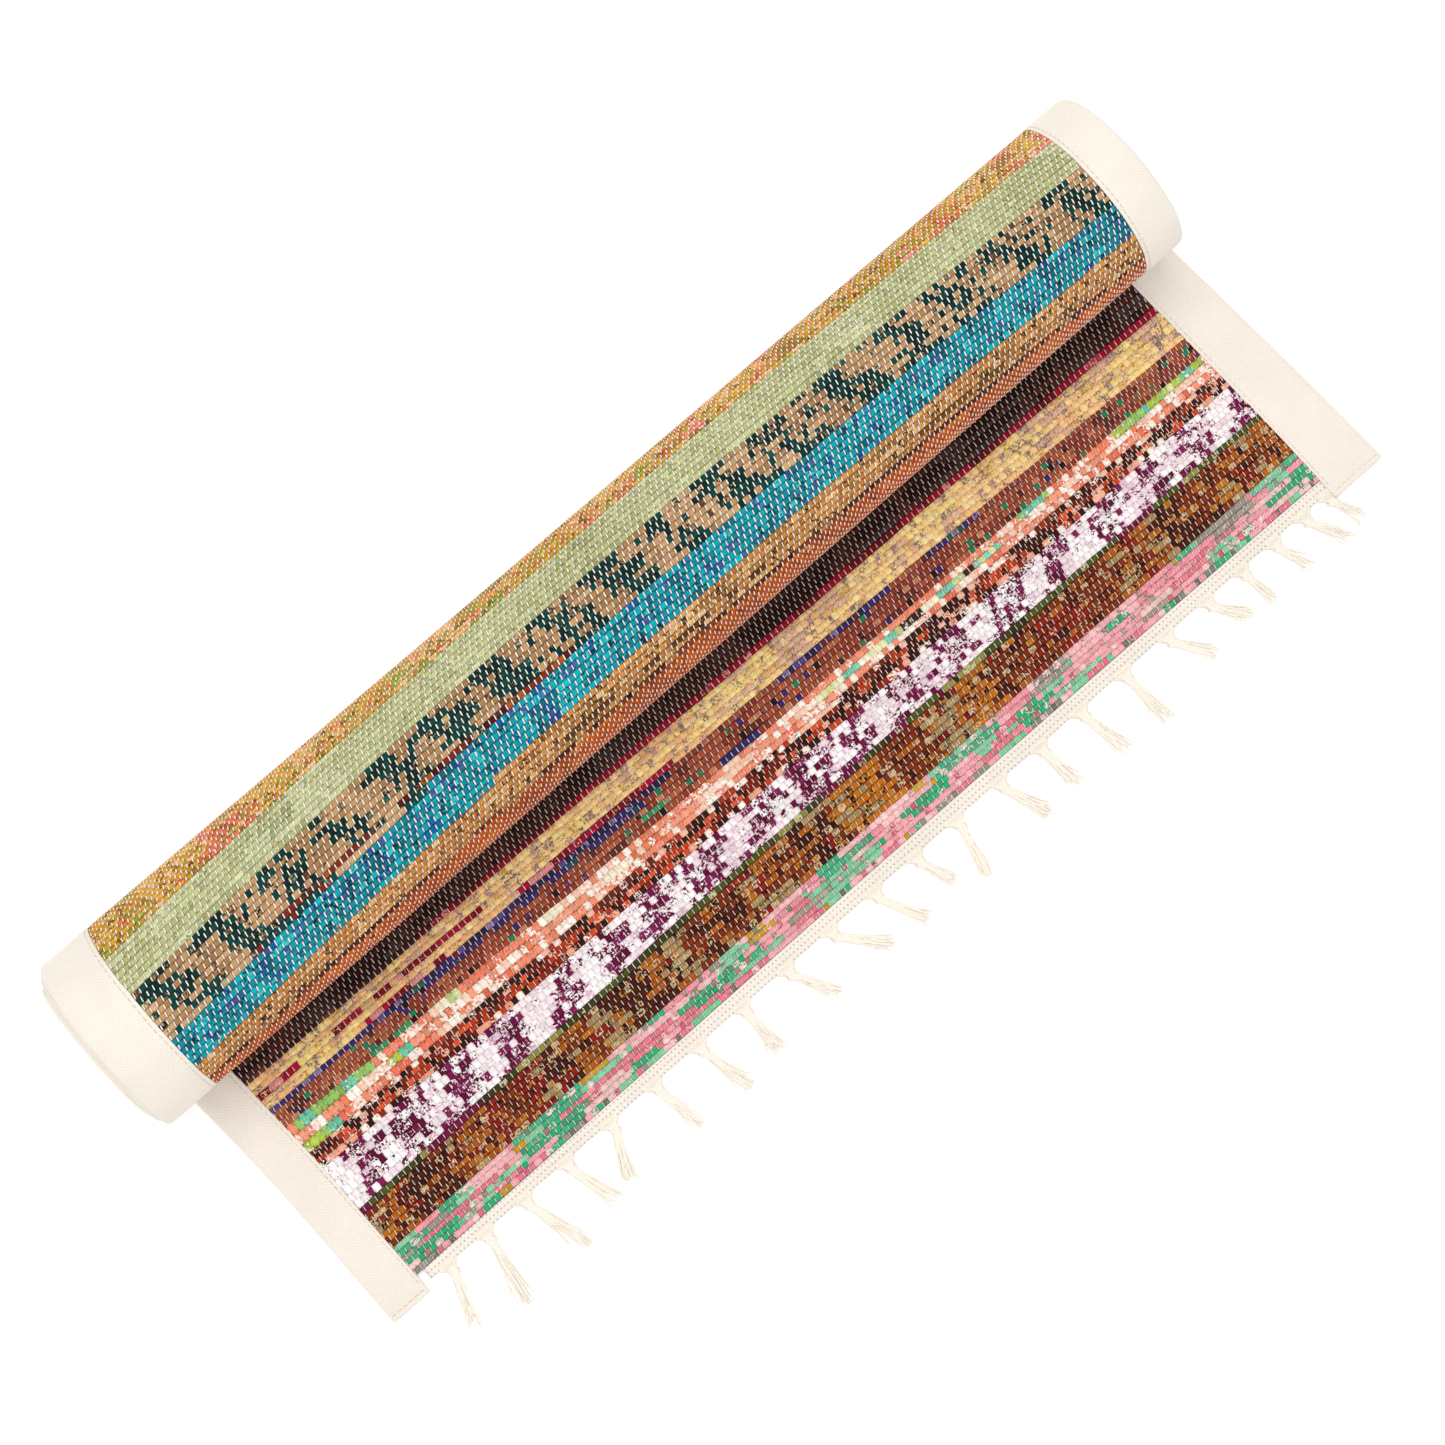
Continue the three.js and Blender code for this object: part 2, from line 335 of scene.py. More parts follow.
SHOWN_STRIPES = [
    # pink and mint, from the heading
    stripe(1, (13.6, 14.8, 14.4), "E07A8E 3, F2A9B2 2.4, 3DAA78 2.2, 8A8A80 1.6, BC8A3C 0.9, 7CC795 1.2", 9,
           bits=("6E6A66 F4C9CC", 0.25, 0.5)),
    stripe(3, (21.3, 22.6, 22.6), "EEA4AC 5.4, DC7A88 3.2, 3CA676 3, 80C29A 2, E8C0BC 2, A09488 1.2", 20,
           bits=("F4D0CE C86070 5A8A70", 0.5, 0.36)),
    stripe(2, (27, 28.4, 28.9), "E8929E 4, F0B4B8 3, 48A87E 3.2, 84C09C 2.2, C4963C 0.9, 968E84 1.6", 20,
           bits=("F4D0CE 80806E", 0.5, 0.36)),
    # brown
    stripe(7, (47.6, 50.8, 51), "A65822 4.2, 7A3014 4, B86A20 2, 4A1C10 3.4, A4865C 1.8, 86241A 2", 9,
           bits=("CDB48C 2C0F0A B87838 2C0F0A 2C0F0A", 0.8, 0.36)),
    stripe(1, (50.6, 54, 54), "4A5220 4, 3A3A1C 2, 6A1A3C 2.6, 8A8448 1.6", 18,
           bits=("C9BE90 2A2A14", 0.3, 0.4)),
    # white with plum blotches
    stripe(6, (74.2, 72.3, 71.8), "F8EAEE 5, FCF4F6 4, EEDAE2 1.4", 9,
           blotches=("6A1240 74184A 5C1034 7E2456", 0.68, 30.5, 0.42, (0.4, 0.95)),
           bits=("E0B8D0 A8608E D0A0C0", 0.36, 0.34)),
    # dark red
    stripe(1, (77, 75.4, 74.6), "C4492C 3, 3A140E 3, EFA58A 3, 8A2A1A 2", 5,
           bits=(WHITE_BITS + " 3A140E", 0.55, 0.5)),
    stripe(2, (81.5, 80.2, 78.6), "B23C22 4, 42160E 3.4, 7A2416 3, D9583A 1.6", 6,
           bits=("F3B79E 2A0C08", 0.3, 0.45)),
    stripe(1, (83.9, 82.9, 81), "3A1C16 4, 6A2A1E 2.4, F2B8A0 2, A43A26 2", 5,
           bits=(WHITE_BITS + " 2A100C", 0.5, 0.5)),
    # coral, with lime strips spliced in
    stripe(1, (88.7, 86.3, 84.5), "EE8E72 6, F6C2AA 2, E4745A 2", 7, bits=(WHITE_BITS, 0.6, 0.5),
           splices=[(-284, -262, 0, 0, LIME)]),
    stripe(1, (93.5, 89.7, 88), "F4C6AE 3, EE9A7E 5, E4805F 1.6", 12, bits=(WHITE_BITS, 0.6, 0.5),
           splices=[(-226, -212, 0, 0, LIME), (-98, -84, 0, 0, MINT), (34, 147, 0, 0, MINT)]),
    stripe(1, (98.3, 93, 91.6), "EE8E72 5, EA8062 3.4, F6C8B0 2", 9, bits=(WHITE_BITS, 0.55, 0.45),
           splices=[(-278, -235, 0, 0, LIME), (-197, -180, 0, 0, MINT), (-133, -120, 0, 0, MINT),
                    (161, 178, 0, 0, LIME), (221, 275, 0, 0, LIME)]),
    # brick, with a navy pick
    stripe(4, (107.6, 105.2, 101.6), BRICK, 9, bits=("2C7A56 3C2860 2A1218 C07A5A", 0.16, 0.9),
           splices=[(-230, -205, 0, 0, "3C8A5A 2, 5E2A22 2"), (-66, -50, 1, 1, "3C8A5A 2, 5E2A22 1"),
                    (-20, 10, 0, 0, "32285E 3, 86392B 2"),
                    (-200, -60, 3, 3, "3A2C66 4, 2B4A5A 1, 7A3A34 2")]),
    stripe(1, (110, 108, 104), "3A2C66 5, 2A2248 3, 5A4A8A 1.4, 2F5E50 0.8", 8,
           bits=("8A7AA0 6A2A30", 0.3, 0.5),
           splices=[(-40, 28, 0, 0, BRICK), (96, 118, 0, 0, BRICK), (150, 290, 0, 0, BRICK)]),
    # sand
    stripe(5, (125, 123, 120.5), "F8CC8E 5, FAD68C 3.6, EEB880 3, E0B294 2.2", 14,
           bits=("A58478 8E7668 F7DFA8 B58A8A C79A50", 0.85, 0.38),
           splices=[(-224, -176, 0, 0, CRIMSON), (-130, -36, 0, 0, CRIMSON), (-284, -258, 2, 2, CRIMSON),
                    (-236, -146, 2, 2, CRIMSON)]),
    stripe(1, (127.4, 126.2, 124.4), "98182F 5, 70101F 3, B23A4A 1", 16, bits=("3A0E14 D98A8A", 0.25, 0.4),
           splices=[(-284, -178, 0, 0, "3A1E1A 4, 6B3A2A 1")]),
    # dark maroon, which goes in under the roll
    stripe(9, 150.5, "3E201C 5, 2B120F 3, 4E2420 2, 46302E 2", 18, bits=("1A0806 5A3A34", 0.2, 0.35)),
    # out of sight under the roll
    stripe(6, 167, "7A8C86 4, 5C726E 3, A7B0A0 2", 14, bits=("DDE0D0 3A4A48", 0.3, 0.5)),
    stripe(7, 187.5, "E9B97F 4, D79C66 3, C98A4C 2", 14, bits=("A04A2E F7DFA8", 0.4, 0.4)),
    stripe(5, 202, BRICK, 9, bits=("3A1410 D98A6A", 0.3, 0.5)),
    # white with blue and purple marks
    stripe(8, 226, "F6F2F6 1", 30, blotches=("4E5FA8 6F4A9A 8C83C8", 0.5, 27, -0.4, (0.3, 0.8)),
           bits=("AEB6E0 D0B8E0", 0.2, 0.4)),
    # mustard
    stripe(16, 275, "D2A04A 5, C4943C 3.4, DAAC6A 4, A87436 2.4, DD7A58 1.7, 9A9A3A 1.6, EE8A7A 0.8", 11,
           bits=("D8563E 8A8A30 6E4420 F0C0A0 7A5A18", 0.8, 0.36)),
    # sage
    stripe(7, 295.5, "B8BA8A 5, AEB07E 4, C2C498 3, A0A474 2", 22,
           bits=("7E8C5C D8DCB4 8E7A58", 0.5, 0.26)),
    # teal blotches on tan
    stripe(8, 318, "B89068 5, A07A54 3, C09C74 2", 12,
           blotches=("0B302E 082624 123F3A", 0.6, 33, 0.3, (0.75, 1.4)), bits=("5A3A2A 17504A", 0.22, 0.5),
           splices=[(-205, -28, 7, 7, "7A2A1C 4, A4542A 3, 4A1414 2, BE9A74 1")]),
    # turquoise
    stripe(6, 336, TURQUOISE, 8, bits=("2A3A86 4A4A92 4FBFC2 06566A 062E40 0A4458", 0.8, 0.38),
           splices=[(-284, -119, 0, 0, "BE9A74 3, 0D3F3C 2, 7A2A1C 1")]),
    # golden tan
    stripe(5, 351.5, "C88C50 5, BC7E46 4, D6A268 3, A07038 2", 16,
           bits=("5A3418 E2BE90 8A5A30 3A2410", 0.85, 0.36),
           splices=[(-284, -96, 0, 0, TURQUOISE), (-60, 60, 3, 3, "5A3418 3, B27A48 2"),
                    (150, 284, 3, 3, "6E441E 2, B27A48 2")]),
    stripe(1, 354.5, "4E2010 4, 7A3A1A 3, A8744A 2", 9, bits=("C08A52 2A0E06", 0.4, 0.5)),
    # rust
    stripe(11, 387.5, "BC5418 5, A64814 3, C86420 2", 14, bits=("6E2C10 D98A52", 0.5, 0.35)),
    stripe(10, 417.5, "8C5A3A 4, 70422A 3, A8744A 2", 12, bits=("3A1C10 D9B48A", 0.5, 0.4)),
    stripe(11, 450, "F0B79A 4, E58A6C 3, F6D8C0 2", 12, bits=(WHITE_BITS, 0.5, 0.5)),
]
print(sum(item["picks"] for item in SHOWN_STRIPES), "picks are listed")

# %% [markdown]
# Inside the roll the same bundles of cloth come round again. Only the edges of these turns could ever be
# seen, so their picks are laid in even steps.

# %% The stripes inside the roll
HEADING_END = 13.8 * MM  # where the heading ends and the stripes start
PICK = 3.0 * MM
WEAVE_START = (10.6, 12.0, 11.6)
HIDDEN_START = SHOWN_STRIPES[-1]["ends"][1] * MM
HIDDEN_PICKS = round((RUG_LENGTH - HEADING_END - HIDDEN_START) / PICK)


def end_line(ends, across):
    """The line where a stripe ends, through its three measured points."""
    marks = (LEFT_MARK, 0.0, RIGHT_MARK)
    return np.polyval(np.polyfit(marks, np.array(ends) * MM, 2), across)


LEFT_BOW, RIGHT_BOW = 13 * MM, 7.7 * MM
BOW_SPAN = (140 * MM, 250 * MM)


def bow(across, along):
    """On the roll the middle of each pick was pulled ahead of its ends."""
    depth = np.where(across < 0, LEFT_BOW, RIGHT_BOW)
    return depth * (across / HALF_WIDTH) ** 2 * smooth(along, *BOW_SPAN)


def pick_line(number, across):
    """How far along the rug the boundary below a pick lies, at each place across."""
    first = 0
    start = WEAVE_START
    for item in SHOWN_STRIPES:
        if number <= first + item["picks"]:
            share = (number - first) / item["picks"]
            line = end_line(start, across) * (1 - share) + end_line(item["ends"], across) * share
            break
        first += item["picks"]
        start = item["ends"]
    else:
        share = (number - first) / HIDDEN_PICKS
        line = np.full_like(across, HIDDEN_START + (RUG_LENGTH - HEADING_END - HIDDEN_START) * share)
    sway = wander(across, 45 * MM, 1000 + number, 0.38 * MM)
    sway = sway + wander(across, 9 * MM, 5000 + number, 0.16 * MM)
    shown_end = sum(item["picks"] for item in SHOWN_STRIPES)
    return line + bow(across, line) + sway * (0 < number < shown_end)


# %% [markdown]
# ## What colour each cell is
#
# On the face of a plain weave each pick shows as a row of short bars, one wherever it rises over a pair
# of warps. From one row to the next the bars shift by half a step, like bricks. So each bar, here called
# a cell, gets one colour from its rag and, where the rag is printed, a second colour and how much of the
# cell it fills. Runs of cells share a colour because they come from one piece of cloth.

# %% Painting the cells
CELLS = 169  # pairs of warps between the two bands
CELLS_UNDER_BAND = 4  # the cloth runs on a little under each band
CLOTH_HALF = 279 * MM
CROWDING = 0.064  # the warps stand a little closer together towards the right
FIRST_CELL = -CELLS_UNDER_BAND
LAST_CELL = CELLS + CELLS_UNDER_BAND


def cell_place(cell):
    """Where across the rug a cell edge lies."""
    share = np.asarray(cell, float) / CELLS
    return -CLOTH_HALF + 2 * CLOTH_HALF * (share + CROWDING * share * (1 - share))


CELL_COUNT = LAST_CELL - FIRST_CELL + 1
CELL_ACROSS = cell_place(np.arange(FIRST_CELL, LAST_CELL + 1) + 0.5)
DEEPER = 1.08  # how far colours are moved away from grey
OWN = 0.85  # how much each pick goes its own way, beside what the whole stripe does
FRAY = 0.36  # how ragged the outline of a blotch is


def lay_rags(rags, run, seeds, random):
    """Which colour each cell gets. Every colour has its own soft random line, and the highest line wins."""
    stripe_seed, pick_seed = seeds
    colours, shares = recipe(rags)
    chances = []
    for number, share in enumerate(shares):
        line = wander(CELL_ACROSS, run * MM, stripe_seed + number)
        line = line + OWN * wander(CELL_ACROSS, run * MM, pick_seed + number)
        chances.append(line + 0.5 * math.log(share) + random.uniform(-0.12, 0.12, CELL_COUNT))
    return colours[np.argmax(chances, axis=0)]


def pick_inks(colours, random):
    chart = np.array([dye(colour) for colour in colours.split()])
    return chart[random.integers(0, len(chart), CELL_COUNT)]


def paint_pick(item, stripe_seed, pick_seed, row, random):
    """Colours of one pick's cells: the rag's, the print's, and how much of the cell is printed."""
    rag = lay_rags(item["rags"], item["run"], (stripe_seed, pick_seed), random)
    ink = rag * 0.6
    printed = np.zeros(CELL_COUNT)
    if item["bits"]:
        inks, share, fill = item["bits"]
        spots = random.random(CELL_COUNT) < share
        ink = np.where(spots[:, None], pick_inks(inks, random), ink)
        printed = np.where(spots, random.uniform(0.4, 1.6, CELL_COUNT) * fill, 0)
    if item["blotches"]:
        inks, share, repeat, slant, cover = item["blotches"]
        phase = CELL_ACROSS / (repeat * MM) - slant * row / item["picks"]
        phase = phase + wander(CELL_ACROSS, 1.6 * repeat * MM, stripe_seed, 0.16)
        phase = phase + random.normal(0, 0.10)
        lobe = 0.5 + 0.32 * np.cos(2 * math.pi * phase)
        lobe = lobe + wander(CELL_ACROSS, 5 * MM, pick_seed + 50, 0.30)
        lobe = lobe + random.uniform(-FRAY, FRAY, CELL_COUNT)
        inside = np.clip((lobe - (1 - share)) / 0.3, 0, 1) * random.uniform(*cover, CELL_COUNT)
        ink = np.where(inside[:, None] > 0, pick_inks(inks, random), ink)
        printed = np.where(inside > 0, inside, printed)
    for left, right, first, last, rags in item["splices"]:
        if first <= row <= last:
            laid = (CELL_ACROSS > left * MM) & (CELL_ACROSS < right * MM)
            other = lay_rags(rags, 8, (stripe_seed + 20, pick_seed + 20), random)
            rag = np.where(laid[:, None], other, rag)
            printed = np.where(laid, printed * 0.5, printed)
    rag = rag * random.normal(1.0, 0.08, (CELL_COUNT, 1))
    return rag, ink, printed


def deepen(colours):
    """Moves colours away from grey, because the pale warps in front of the rags veil them."""
    grey = colours.mean(axis=-1, keepdims=True)
    return np.clip(grey + DEEPER * (colours - grey), 0.002, 1)


def paint_rug():
    """The cells of every pick, from the free end to the inner end."""
    random = np.random.default_rng(20)
    rows = []
    shown = sum(item["picks"] for item in SHOWN_STRIPES)
    stripes = list(SHOWN_STRIPES)
    while len(rows) < shown + HIDDEN_PICKS:
        item = stripes.pop(0) if stripes else SHOWN_STRIPES[random.integers(len(SHOWN_STRIPES))]
        stripe_seed = 100 * (1 + len(rows))
        for row in range(item["picks"]):
            rows.append(paint_pick(item, stripe_seed, 90000 + 100 * len(rows), row, random))
    rags, inks, printed = (np.array(part) for part in zip(*rows))
    return deepen(rags), deepen(inks), printed


RAGS, INKS, PRINTED = paint_rug()
print("painted", RAGS.shape[0], "picks of", RAGS.shape[1], "cells")

# %% [markdown]
# ## The ground cloth
#
# The relief of the weave is real geometry: each pick is a rounded ridge, nipped in at every warp. It
# could be displaced by a texture, but a tree that works from the count of threads is exact and stays
# crisp. The mesh is therefore cut along the threads: four columns and three rows to a cell on the face
# that is seen, and fewer on the other one. Two numbers are stored on each point, the cell and the pick it
# belongs to, together with the half thickness of the cloth there.

# %% The weave_relief tree
RELIEF_SIZES = {
    "Thickness": THICKNESS,
    "Pick Depth": 0.75 * MM,
    "Cell Depth": 0.42 * MM,
}
ROUNDING = 0.6  # below 1, so that ridges are round on top and narrow at the foot


def bricked(tree, cell, pick):
    """The cell number, moved on by half a cell on every other pick."""
    return chain(tree, MATH, pick, ("FLOOR",), ("FLOORED_MODULO", 2.0), ("MULTIPLY_ADD", 0.5, cell))


def build_weave_relief():
    tree, sizes = new_geometry_tree("weave_relief", RELIEF_SIZES)
    thick, pick_depth, cell_depth = [sizes.outputs[name] for name in RELIEF_SIZES]
    weave = add(tree, "GeometryNodeInputNamedAttribute", "weave", data_type="FLOAT_VECTOR")
    cell, pick, slab = add(tree, "ShaderNodeSeparateXYZ", weave).outputs

    arch = (("MULTIPLY", math.pi), ("SINE",), ("ABSOLUTE",), ("POWER", ROUNDING))
    ridge = chain(tree, MATH, pick, *arch)
    pillow = chain(tree, MATH, bricked(tree, cell, pick), *arch)
    valley = chain(tree, MATH, 1.0, ("SUBTRACT", ridge), ("MULTIPLY", pick_depth))
    nip = chain(tree, MATH, 1.0, ("SUBTRACT", pillow), ("MULTIPLY", cell_depth), ("MULTIPLY", ridge))
    height = chain(tree, MATH, slab, ("ABSOLUTE",), ("SUBTRACT", valley), ("SUBTRACT", nip))
    side = chain(tree, MATH, slab, ("SIGN",))
    lift = chain(tree, MATH, height, ("MULTIPLY", side))
    new_z = chain(tree, MATH, thick, ("MULTIPLY_ADD", 0.5, lift))
    x, y, _ = add(tree, "ShaderNodeSeparateXYZ", add(tree, "GeometryNodeInputPosition")).outputs
    place = add(tree, "ShaderNodeCombineXYZ", x, y, new_z)
    moved = add(tree, "GeometryNodeSetPosition", sizes.outputs["Geometry"], None, place)
    return end_geometry_tree(tree, sizes, moved)


weave_relief = build_weave_relief()
print("weave_relief has", len(weave_relief.nodes), "nodes")

# %% [markdown]
# The band covers the edge of the cloth by a width that changes along the rug. Under the band the cloth
# is pressed thinner, so `slab_at` tapers it there.

# %% The width of the bands
CANVAS = 0.45 * MM
PRESSED = 0.62 * MM  # how much thinner each face of the cloth is under the band
LEFT_BAND = ((0, 21.5), (180, 22), (250, 28), (1830, 28))  # distance along and width, both in mm
RIGHT_BAND = ((0, 29.5), (60, 28), (150, 25.5), (250, 22.5), (1830, 24))


def band_width(widths, along):
    places, sizes = np.array(widths).T * MM
    wobble = wander(along, 60 * MM, 5, 0.5 * MM) + wander(along, 14 * MM, 6, 0.18 * MM)
    return np.interp(along, places, sizes) + wobble * (np.asarray(along) > 0)


def slab_at(across, along):
    left_edge = HALF_WIDTH - band_width(LEFT_BAND, along)
    right_edge = HALF_WIDTH - band_width(RIGHT_BAND, along)
    covered = np.where(across < 0, -across - left_edge, across - right_edge)
    return THICKNESS / 2 - PRESSED * smooth(covered, -1.0 * MM, 1.2 * MM)


# %% The mesh of a stretch of cloth
SELVEDGE = 302 * MM  # the cloth ends just inside the fold of the band
UNEVEN = 0.16 * MM  # how much the height of the cloth varies from point to point
NUDGE = 1e-4  # a point exactly between two picks counts as the start of the later one


def cloth_face(first_pick, last_pick, per_cell, per_pick, side):
    """Points and thread counts of one face, with one more column out to the selvedge on each side."""
    columns = np.linspace(FIRST_CELL, LAST_CELL, (LAST_CELL - FIRST_CELL) * per_cell + 1)
    across = np.concatenate([[-SELVEDGE], cell_place(columns), [SELVEDGE]])
    cells = np.concatenate([[columns[0]], columns, [columns[-1]]])
    rows = []
    for pick in range(first_pick, last_pick):
        here, there = pick_line(pick, across), pick_line(pick + 1, across)
        for step in range(per_pick):
            rows.append((pick + step / per_pick, here + (there - here) * step / per_pick))
    rows.append((last_pick, pick_line(last_pick, across)))
    picks = np.array([pick for pick, _ in rows])[:, None]
    along = np.array([line for _, line in rows])
    slab = slab_at(across, along)
    random = np.random.default_rng(first_pick)
    uneven = random.uniform(0, UNEVEN, (len(rows), len(across)))
    uneven = (uneven + np.roll(uneven, 1, 0) + np.roll(uneven, 1, 1)) / 3
    slab = (slab - uneven) * side
    cells = np.broadcast_to(cells, along.shape)
    picks = np.broadcast_to(picks, along.shape) + NUDGE
    points = flat_points(across, along, slab)
    weave = np.stack([cells, picks, slab], axis=-1).reshape(-1, 3)
    return points, weave, along.shape


def face_quads(shape, first_point, upward):
    rows, columns = shape
    index = np.arange(rows * columns).reshape(shape) + first_point
    quads = np.stack([index[:-1, :-1], index[1:, :-1], index[1:, 1:], index[:-1, 1:]], axis=-1).reshape(-1, 4)
    return quads if upward else quads[:, ::-1]


def rim(shape, first_point):
    """The points round the edge of a face, once round."""
    index = np.arange(shape[0] * shape[1]).reshape(shape) + first_point
    return [index[0, :], index[:, -1], index[-1, ::-1], index[::-1, 0]]


def close_edges(fine_sides, coarse_sides):
    """Triangles between the edge of a fine face and the edge of a coarse one."""
    triangles = []
    for fine, coarse in zip(fine_sides, coarse_sides):
        place = 0
        for number in range(len(coarse) - 1):
            last = round((number + 1) * (len(fine) - 1) / (len(coarse) - 1))
            half = (place + last + 1) // 2
            for step in range(place, last):
                if step == half:
                    triangles.append((fine[step], coarse[number], coarse[number + 1]))
                corner = coarse[number] if step < half else coarse[number + 1]
                triangles.append((fine[step], corner, fine[step + 1]))
            if half >= last:
                triangles.append((fine[last], coarse[number], coarse[number + 1]))
            place = last
    return triangles


def slab_faces(top_shape, bottom_shape):
    """The faces of a flat closed piece: the quads of both faces, and the triangles round its edge."""
    top_count = top_shape[0] * top_shape[1]
    quads = np.concatenate([face_quads(top_shape, 0, True), face_quads(bottom_shape, top_count, False)])
    top_rim, bottom_rim = rim(top_shape, 0), rim(bottom_shape, top_count)
    if top_count >= bottom_shape[0] * bottom_shape[1]:
        return quads, close_edges(top_rim, bottom_rim)
    return quads, [triangle[::-1] for triangle in close_edges(bottom_rim, top_rim)]


def cell_of(weave, quads):
    """The pick and the cell that each quad lies in."""
    centre = weave[np.asarray(quads)].mean(axis=1)
    picks = np.floor(centre[:, 1]).astype(int)
    cells = np.floor(centre[:, 0] + 0.5 * (picks % 2)).astype(int) - FIRST_CELL
    return np.clip(picks, 0, len(RAGS) - 1), np.clip(cells, 0, RAGS.shape[1] - 1)


def store(mesh, name, kind, domain, values):
    attribute = mesh.attributes.new(name, kind, domain)
    key = {"FLOAT": "value", "FLOAT_VECTOR": "vector", "FLOAT_COLOR": "color"}[kind]
    attribute.data.foreach_set(key, np.asarray(values, np.float32).ravel())


def paint_faces(mesh, rag, ink, printed):
    opacity = np.ones((len(rag), 1))
    store(mesh, "rag", "FLOAT_COLOR", "FACE", np.hstack([rag, opacity]))
    store(mesh, "ink", "FLOAT_COLOR", "FACE", np.hstack([ink, opacity]))
    store(mesh, "printed", "FLOAT", "FACE", printed)


FINE = (4, 3)  # steps to a cell and to a pick on the face that is seen


def cloth_object(name, first_pick, last_pick, seen, coarse):
    """A flat, closed stretch of cloth. seen is +1 where the upper face is the one that is seen."""
    top_step, bottom_step = (FINE, coarse) if seen > 0 else (coarse, FINE)
    top, top_weave, top_shape = cloth_face(first_pick, last_pick, *top_step, 1)
    bottom, bottom_weave, bottom_shape = cloth_face(first_pick, last_pick, *bottom_step, -1)
    weave = np.concatenate([top_weave, bottom_weave])
    quads, edges = slab_faces(top_shape, bottom_shape)
    piece = mesh_object(name, np.concatenate([top, bottom]), faces=[*quads, *edges])
    store(piece.data, "weave", "FLOAT_VECTOR", "POINT", weave)
    picks, cells = np.hstack([cell_of(weave, quads), cell_of(weave, edges)])
    paint_faces(piece.data, RAGS[picks, cells], INKS[picks, cells], PRINTED[picks, cells])
    return piece


# %% [markdown]
# ## Woven cotton rag
#
# Torn printed cotton, washed soft, is quite matt, with a faint sheen where fibres stand up. Along a pick
# the cloth is crumpled lengthwise, so fine creases run across the rug; they are a bump, and painted shade
# and light in the colour. Three things make it look woven: painted shade in the gap where two picks meet,
# painted shade in the nip beside each warp, and prints that break inside a cell.

# %% The material of the ground


def new_material(name):
    material = bpy.data.materials.new(name)
    material.use_nodes = True
    tree = material.node_tree
    shader = next(node for node in tree.nodes if node.type == "BSDF_PRINCIPLED")
    return material, tree, shader


def set_shader(shader, **settings):
    """Sets what is the same all over: Roughness=0.9, Sheen_Weight=0.1 and so on."""
    for name, value in settings.items():
        shader.inputs[name.replace("_", " ")].default_value = value


def woven_cotton_rag():
    material, tree, shader = new_material("woven_cotton_rag")
    weave = add(tree, "ShaderNodeAttribute", attribute_name="weave")
    rag = add(tree, "ShaderNodeAttribute", attribute_name="rag").outputs["Color"]
    ink = add(tree, "ShaderNodeAttribute", attribute_name="ink").outputs["Color"]
    printed = add(tree, "ShaderNodeAttribute", attribute_name="printed").outputs["Fac"]
    threads = weave.outputs["Vector"]
    cell, pick, slab = add(tree, "ShaderNodeSeparateXYZ", threads).outputs

    # The print breaks up inside a cell, in patches of about a millimetre.
    patch = add(tree, "ShaderNodeVectorMath", threads, (2.7, 2.9, 400.0), operation="MULTIPLY")
    patches = add(tree, "ShaderNodeTexNoise", patch, 1.0, 2.0, 0.6)
    patches = add(tree, "ShaderNodeMapRange", patches.outputs[0], 0.25, 0.75, 0.0, 1.0)
    covers = add(tree, MATH, printed, patches, operation="SUBTRACT")
    covers = add(tree, "ShaderNodeMapRange", covers, -0.04, 0.04, 0.0, 1.0)
    colour = add(tree, "ShaderNodeMix", covers, rag, ink, data_type="RGBA")

    # Creases run along the pick: fine across it, long beside it. They darken and lighten the colour as
    # painted shade and light, and drive the bump.
    crease = add(tree, "ShaderNodeVectorMath", threads, (0.9, 7.0, 300.0), operation="MULTIPLY")
    creases = add(tree, "ShaderNodeTexNoise", crease, 1.0, 4.0, 0.6).outputs[0]
    shade = add(tree, "ShaderNodeMapRange", creases, 0.3, 0.7, 0.74, 1.2)

    fibre = add(tree, "ShaderNodeVectorMath", threads, (9.0, 8.0, 500.0), operation="MULTIPLY")
    fibres = add(tree, "ShaderNodeTexNoise", fibre, 1.0, 2.0, 0.6).outputs[0]
    fluff = add(tree, "ShaderNodeMapRange", fibres, 0.3, 0.7, 0.80, 1.18)

    # Painted shade: dark where two picks meet, and beside each warp.
    uneven = chain(tree, MATH, patches, ("MULTIPLY_ADD", 0.16, -0.08))
    gap = chain(tree, MATH, pick, ("PINGPONG", 1.0), ("SUBTRACT", 0.5), ("ABSOLUTE",), ("ADD", uneven))
    near_gap = add(tree, "ShaderNodeMapRange", gap, 0.38, 0.5, 1.0, 0.42)
    nip = chain(tree, MATH, bricked(tree, cell, pick), ("FRACT",), ("SUBTRACT", 0.5), ("ABSOLUTE",))
    near_nip = add(tree, "ShaderNodeMapRange", nip, 0.30, 0.42, 1.0, 0.36)
    # Pale rags let light through, so the painted shade in their gaps is never as dark as on a deep colour.
    tone = add(tree, "ShaderNodeRGBToBW", colour)
    depth = add(tree, "ShaderNodeMapRange", tone, 0.12, 0.75, 1.0, 0.28)
    dark = chain(tree, MATH, near_gap, ("MULTIPLY", near_nip), ("POWER", depth))
    shade = chain(tree, MATH, shade, ("MULTIPLY", fluff), ("MULTIPLY", dark))
    # The colour is scaled by the painted shade of creases, gaps and nips, and by the fibre tone.
    colour = add(tree, "ShaderNodeVectorMath", colour, shade, operation="SCALE")

    bump = add(tree, "ShaderNodeBump", 0.5, 0.25 * MM, named={"Height": creases})
    tree.links.new(colour.outputs[0], shader.inputs["Base Color"])
    tree.links.new(bump.outputs[0], shader.inputs["Normal"])
    set_shader(shader, Roughness=0.88, Specular_IOR_Level=0.15, Sheen_Weight=0.04, Sheen_Roughness=0.5)
    return material


rag_cotton = woven_cotton_rag()
print("made", rag_cotton.name)
